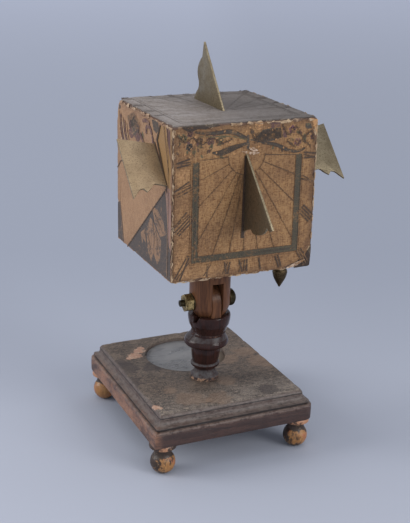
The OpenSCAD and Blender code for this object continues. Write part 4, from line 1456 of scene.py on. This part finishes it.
def pillar_profile():
    """Radii, heights over the base and wear, from the flange up to the hollow of the cup."""
    def smooth(points, wear):
        return [(p[0], p[1], wear) for p in curve_through(points, 5)]

    flange = [(6.9, 0.0, 0.8), (7.1, 0.2, 0.9), (7.1, 1.6, 0.9), (6.9, 1.8, 0.9)]
    flange += smooth([(6.8, 1.8), (6.3, 2.5), (5.5, 3.8), (5.2, 4.9), (5.2, 6.7)], 0.55)
    collar = rounded(5.9, 7.9, 1.3, -66, 66, 0.0, 12)
    collar = [(r, z, -0.6 if z > 8.2 else 0.1) for r, z, _ in collar]
    vase = smooth([(6.4, 9.2), (6.7, 10.6), (6.9, 11.8), (7.2, 14.6), (7.1, 17.9)], 0.0)
    bead = smooth([(7.3, 17.8), (9.4, 18.0), (10.6, 18.9), (10.9, 20.0), (10.5, 21.4),
                   (9.6, 22.7), (8.7, 24.0)], 0.1)
    bead = [(r, z, -0.5 if z > 21.8 else wear) for r, z, wear in bead]
    cup = [(8.6, 24.1, 0.7), (8.6, 24.9, 0.9), (8.3, 24.95, -0.5)]
    cup += smooth([(8.2, 25.2), (8.7, 26.8), (9.6, 29.2)], 0.1) + [(9.9, 29.4, 0.5)]
    cup += smooth([(10.0, 29.9), (10.3, 31.4), (10.5, 33.0), (10.4, 34.3), (10.0, CUP_RIM)], 0.35)
    reach, rise = extent("fork").x / 2 + 0.3, PIN.z - BASE_TOP
    hollow = [(8.0, CUP_RIM, 0.7)]
    hollow += [(r, rise - math.sqrt(reach ** 2 - r ** 2), 0.0)
               for r in (7.2, 6.0, 4.8, 3.6, 2.4, 1.2, 0.3)]
    return flange + collar + vase + bead + cup + hollow


def pillar():
    shape = Shape()
    profile = [(r, BASE_TOP + z, wear) for r, z, wear in pillar_profile()]
    lathe(shape, Vector((0, 0, 0)), profile, lower=broken_rim)
    for i, point in enumerate(shape.points):
        share = max(0.0, min(1.0, (BASE_TOP + LEAN_ENDS - point.z) / LEAN_FADES))
        scratched = max(0.0, 1 - abs(compass_angle(point) - SCRATCH_AT) / SCRATCH_HALF)
        if share < 1 and point.xy.length > 8 and scratched:
            shape.worn[i] = -0.6 * scratched
        point.xy += LEAN * share * (1 + max(0.0, BASE_TOP + LEAN_GROWS - point.z) / 36)
    shape.piece("pillar_turned", "base", DARK_POLISH, slot="dark_wood", replaces=("pillar",),
                crease=36)
    tongue = Shape()
    half, wide, foot = 2.6, 8.8, -11.6
    outline = [(wide, foot), *arc(wide, 0, 180, 6), (-wide, foot)]
    layers = [(-half, 0.94), (-half + 0.35, 1.0), (half - 0.35, 1.0), (half, 0.94)]
    tongue.loft([[PIN + Vector((x, y * share, z * share if z > 0 else z)) for y, z in outline]
                 for x, share in layers])
    tongue.piece("pillar_tongue", "base", FORK_WOOD, slot="dark_wood")


# The side on which each foot has lost its paint, and how far round
RUBBED = {
    "foot_front_left": ((0.5, -1, 0), -0.4),
    "foot_front_right": ((0.5, -1, 0), 0.0),
    "foot_back_left": ((-0.4, -1, 0), 0.7),
    "foot_back_right": ((1, 0.4, 0), 0.0),
}
BALL_R, BALL_Z = 6, 5.7


def feet():
    profile = [(1.2, 0.0)] + [(r, max(0.0, BALL_Z + z)) for r, z in arc(BALL_R, -72, 40, 8)]
    profile += [(4.25, 10.2), (4.1, 11.2), (4.15, 12.6), (4.4, 13.3), (6.0, 13.4), (6.5, 13.8),
                (6.6, 14.6), (6.5, 15.4), (6.2, 15.8)]
    for node, (side, bare) in RUBBED.items():
        at = middle(node)
        shape = Shape()
        lathe(shape, at, [(r, z, 0.0) for r, z in profile], 64)
        rubbed, centre = Vector(side).normalized(), Vector((at.x, at.y, BALL_Z))
        shape.worn = [(p - centre).normalized().dot(rubbed) + bare for p in shape.points]
        shape.piece(node + "_turned", "base", FOOT_WOOD, slot="pale_wood", replaces=(node,))


def compass():
    """The card with its rose, the pin, needle and glass."""
    eased("compass_card", "base", [CARD], 0.05, "card")
    drawing = Drawing(
        lambda u, v, lift: Vector((COMPASS.x + u, COMPASS.y + v, CARD_TOP + lift)),
        {"ink": CARD_INK, "red": CARD_RED}.get)
    for radius, width in ((16.8, 0.3), (14.6, 0.22), (9.4, 0.22)):
        drawing.line(arc(radius, 0, 360, 5), width, "ink")
    drawing.ringed(oblong(-0.1, 0.1, 0, 2.0), 72, 14.7, 0, 0, "ink")
    drawing.ringed([(0, 0), (1.1, 1.4), (0, 7.4)], 8, 0.5, 0, 0, "red", math.pi / 8)
    drawing.ringed([(0, 0), (1.6, 2.0), (0, 8.8)], 4, 0.5, 0, 0, "ink")
    drawing.ringed([(0, 0), (0, 8.8), (-1.6, 2.0)], 4, 0.5, 0, 0, "red")
    drawing.lay("card", "base", "card")
    eased("compass_pivot", "base", [FITTING_BRASS], 0.05, "brass")
    eased("compass_needle", "needle", [BLUED_STEEL], 0.05, "steel")
    eased("needle_cap", "needle", [FITTING_BRASS], 0.08, "brass")
    eased("compass_glass", "base", [GLASS], 0.15, "glass")


photo_camera()
eased("plumb_bob", "plumb", [DARK_BRASS], 0.1, "brass")
plumb_line()
eased("plumb_nail", "head", [BLUED_STEEL], 0.1, "steel")
worn_block()
for face in PAPERS:
    paper_sheet(face)
    # Each gnomon's plate takes its lit or shaded copy of the brass
    plate = {"west": LIT_OCHRE_BRASS, "south": SHADED_BRASS, "east": SHADED_EAST_BRASS}.get(face, PLATE_BRASS)
    eased("gnomon_" + face, "head", [plate, RIM_BRASS], 0.12, "brass", rim=True)
draw_south()
draw_north()
draw_west("west", 1)
draw_west("east", -1)
draw_top()
eased("fork", "head", [FORK_WOOD], 0.35, "red_wood")
for node in ("hinge_bolt", "washer_west", "washer_east"):
    eased(node, "head", [BOLT_BRASS], 0.15, "brass")
eased("clamp_nut", "nut", [FITTING_BRASS], 0.2, "brass")
base()
pillar()
feet()
compass()


# Stage and light
def floor():
    """A plain floor with painted light, paler near the front and on the left, and like the studio
    far away.
    """
    look = new_finish("floor")
    depth = look.towards(AWAY)
    # Painted light: paler in front and on the left, where it lightens the shadows
    look.begin(look.ramp(depth, -0.16, 0.3), (183, 187, 199), (156, 161, 174))
    look.lay((170, 175, 190), look.ramp(depth, 0.6, 2.6))
    look.lay((248, 248, 248), look.ramp(look.towards(TO_RIGHT), -0.06, 0.12), way="MULTIPLY")
    far = look.vectors("LENGTH", look.where, output="Value")
    look.lay((175, 177, 182), look.ramp(far, 3.0, 9.0))
    mesh = bpy.data.meshes.new("floor")
    reach = 40.0
    corners = [(x, y, 0) for x, y in oblong(-reach, reach, -reach, reach)]
    mesh.from_pydata(corners, [], [(0, 1, 2, 3)])
    mesh.materials.append(look.shade(0.85, **{"Specular IOR Level": 0.0}))
    linked("floor", mesh)


# Lamps far away: azimuth from the east, turning to the north, elevation, width and power
LAMPS = {
    "right_front": (-58, 26, 30, 1.12),
    "left_back": (160, 28, 30, 1.3),
    "overhead": (90, 80, 70, 0.5),
    "front_fill": (-120, 30, 90, 0.4),
    "right_glint": (-51, 9, 4, 0.12),
    "left_glint": (150, 9, 4, 0.12),
}


def studio():
    floor()
    world = bpy.data.worlds.new("studio")
    world.use_nodes = True
    sky = world.node_tree.nodes["Background"].inputs
    sky["Color"].default_value, sky["Strength"].default_value = tone(206, 211, 222), 0.71
    bpy.context.scene.world = world
    for name, (*angles, power) in LAMPS.items():
        a, e, width = map(math.radians, angles)
        light = bpy.data.lights.new(name, "SUN")
        light.angle, light.energy = width, power
        towards = Vector((math.cos(a) * math.cos(e), math.sin(a) * math.cos(e), math.sin(e)))
        holder = linked(name, light)
        holder.rotation_mode = "QUATERNION"
        holder.rotation_quaternion = (-towards).to_track_quat("-Z", "Y")
    bpy.context.scene.view_settings.view_transform = "Standard"


studio()
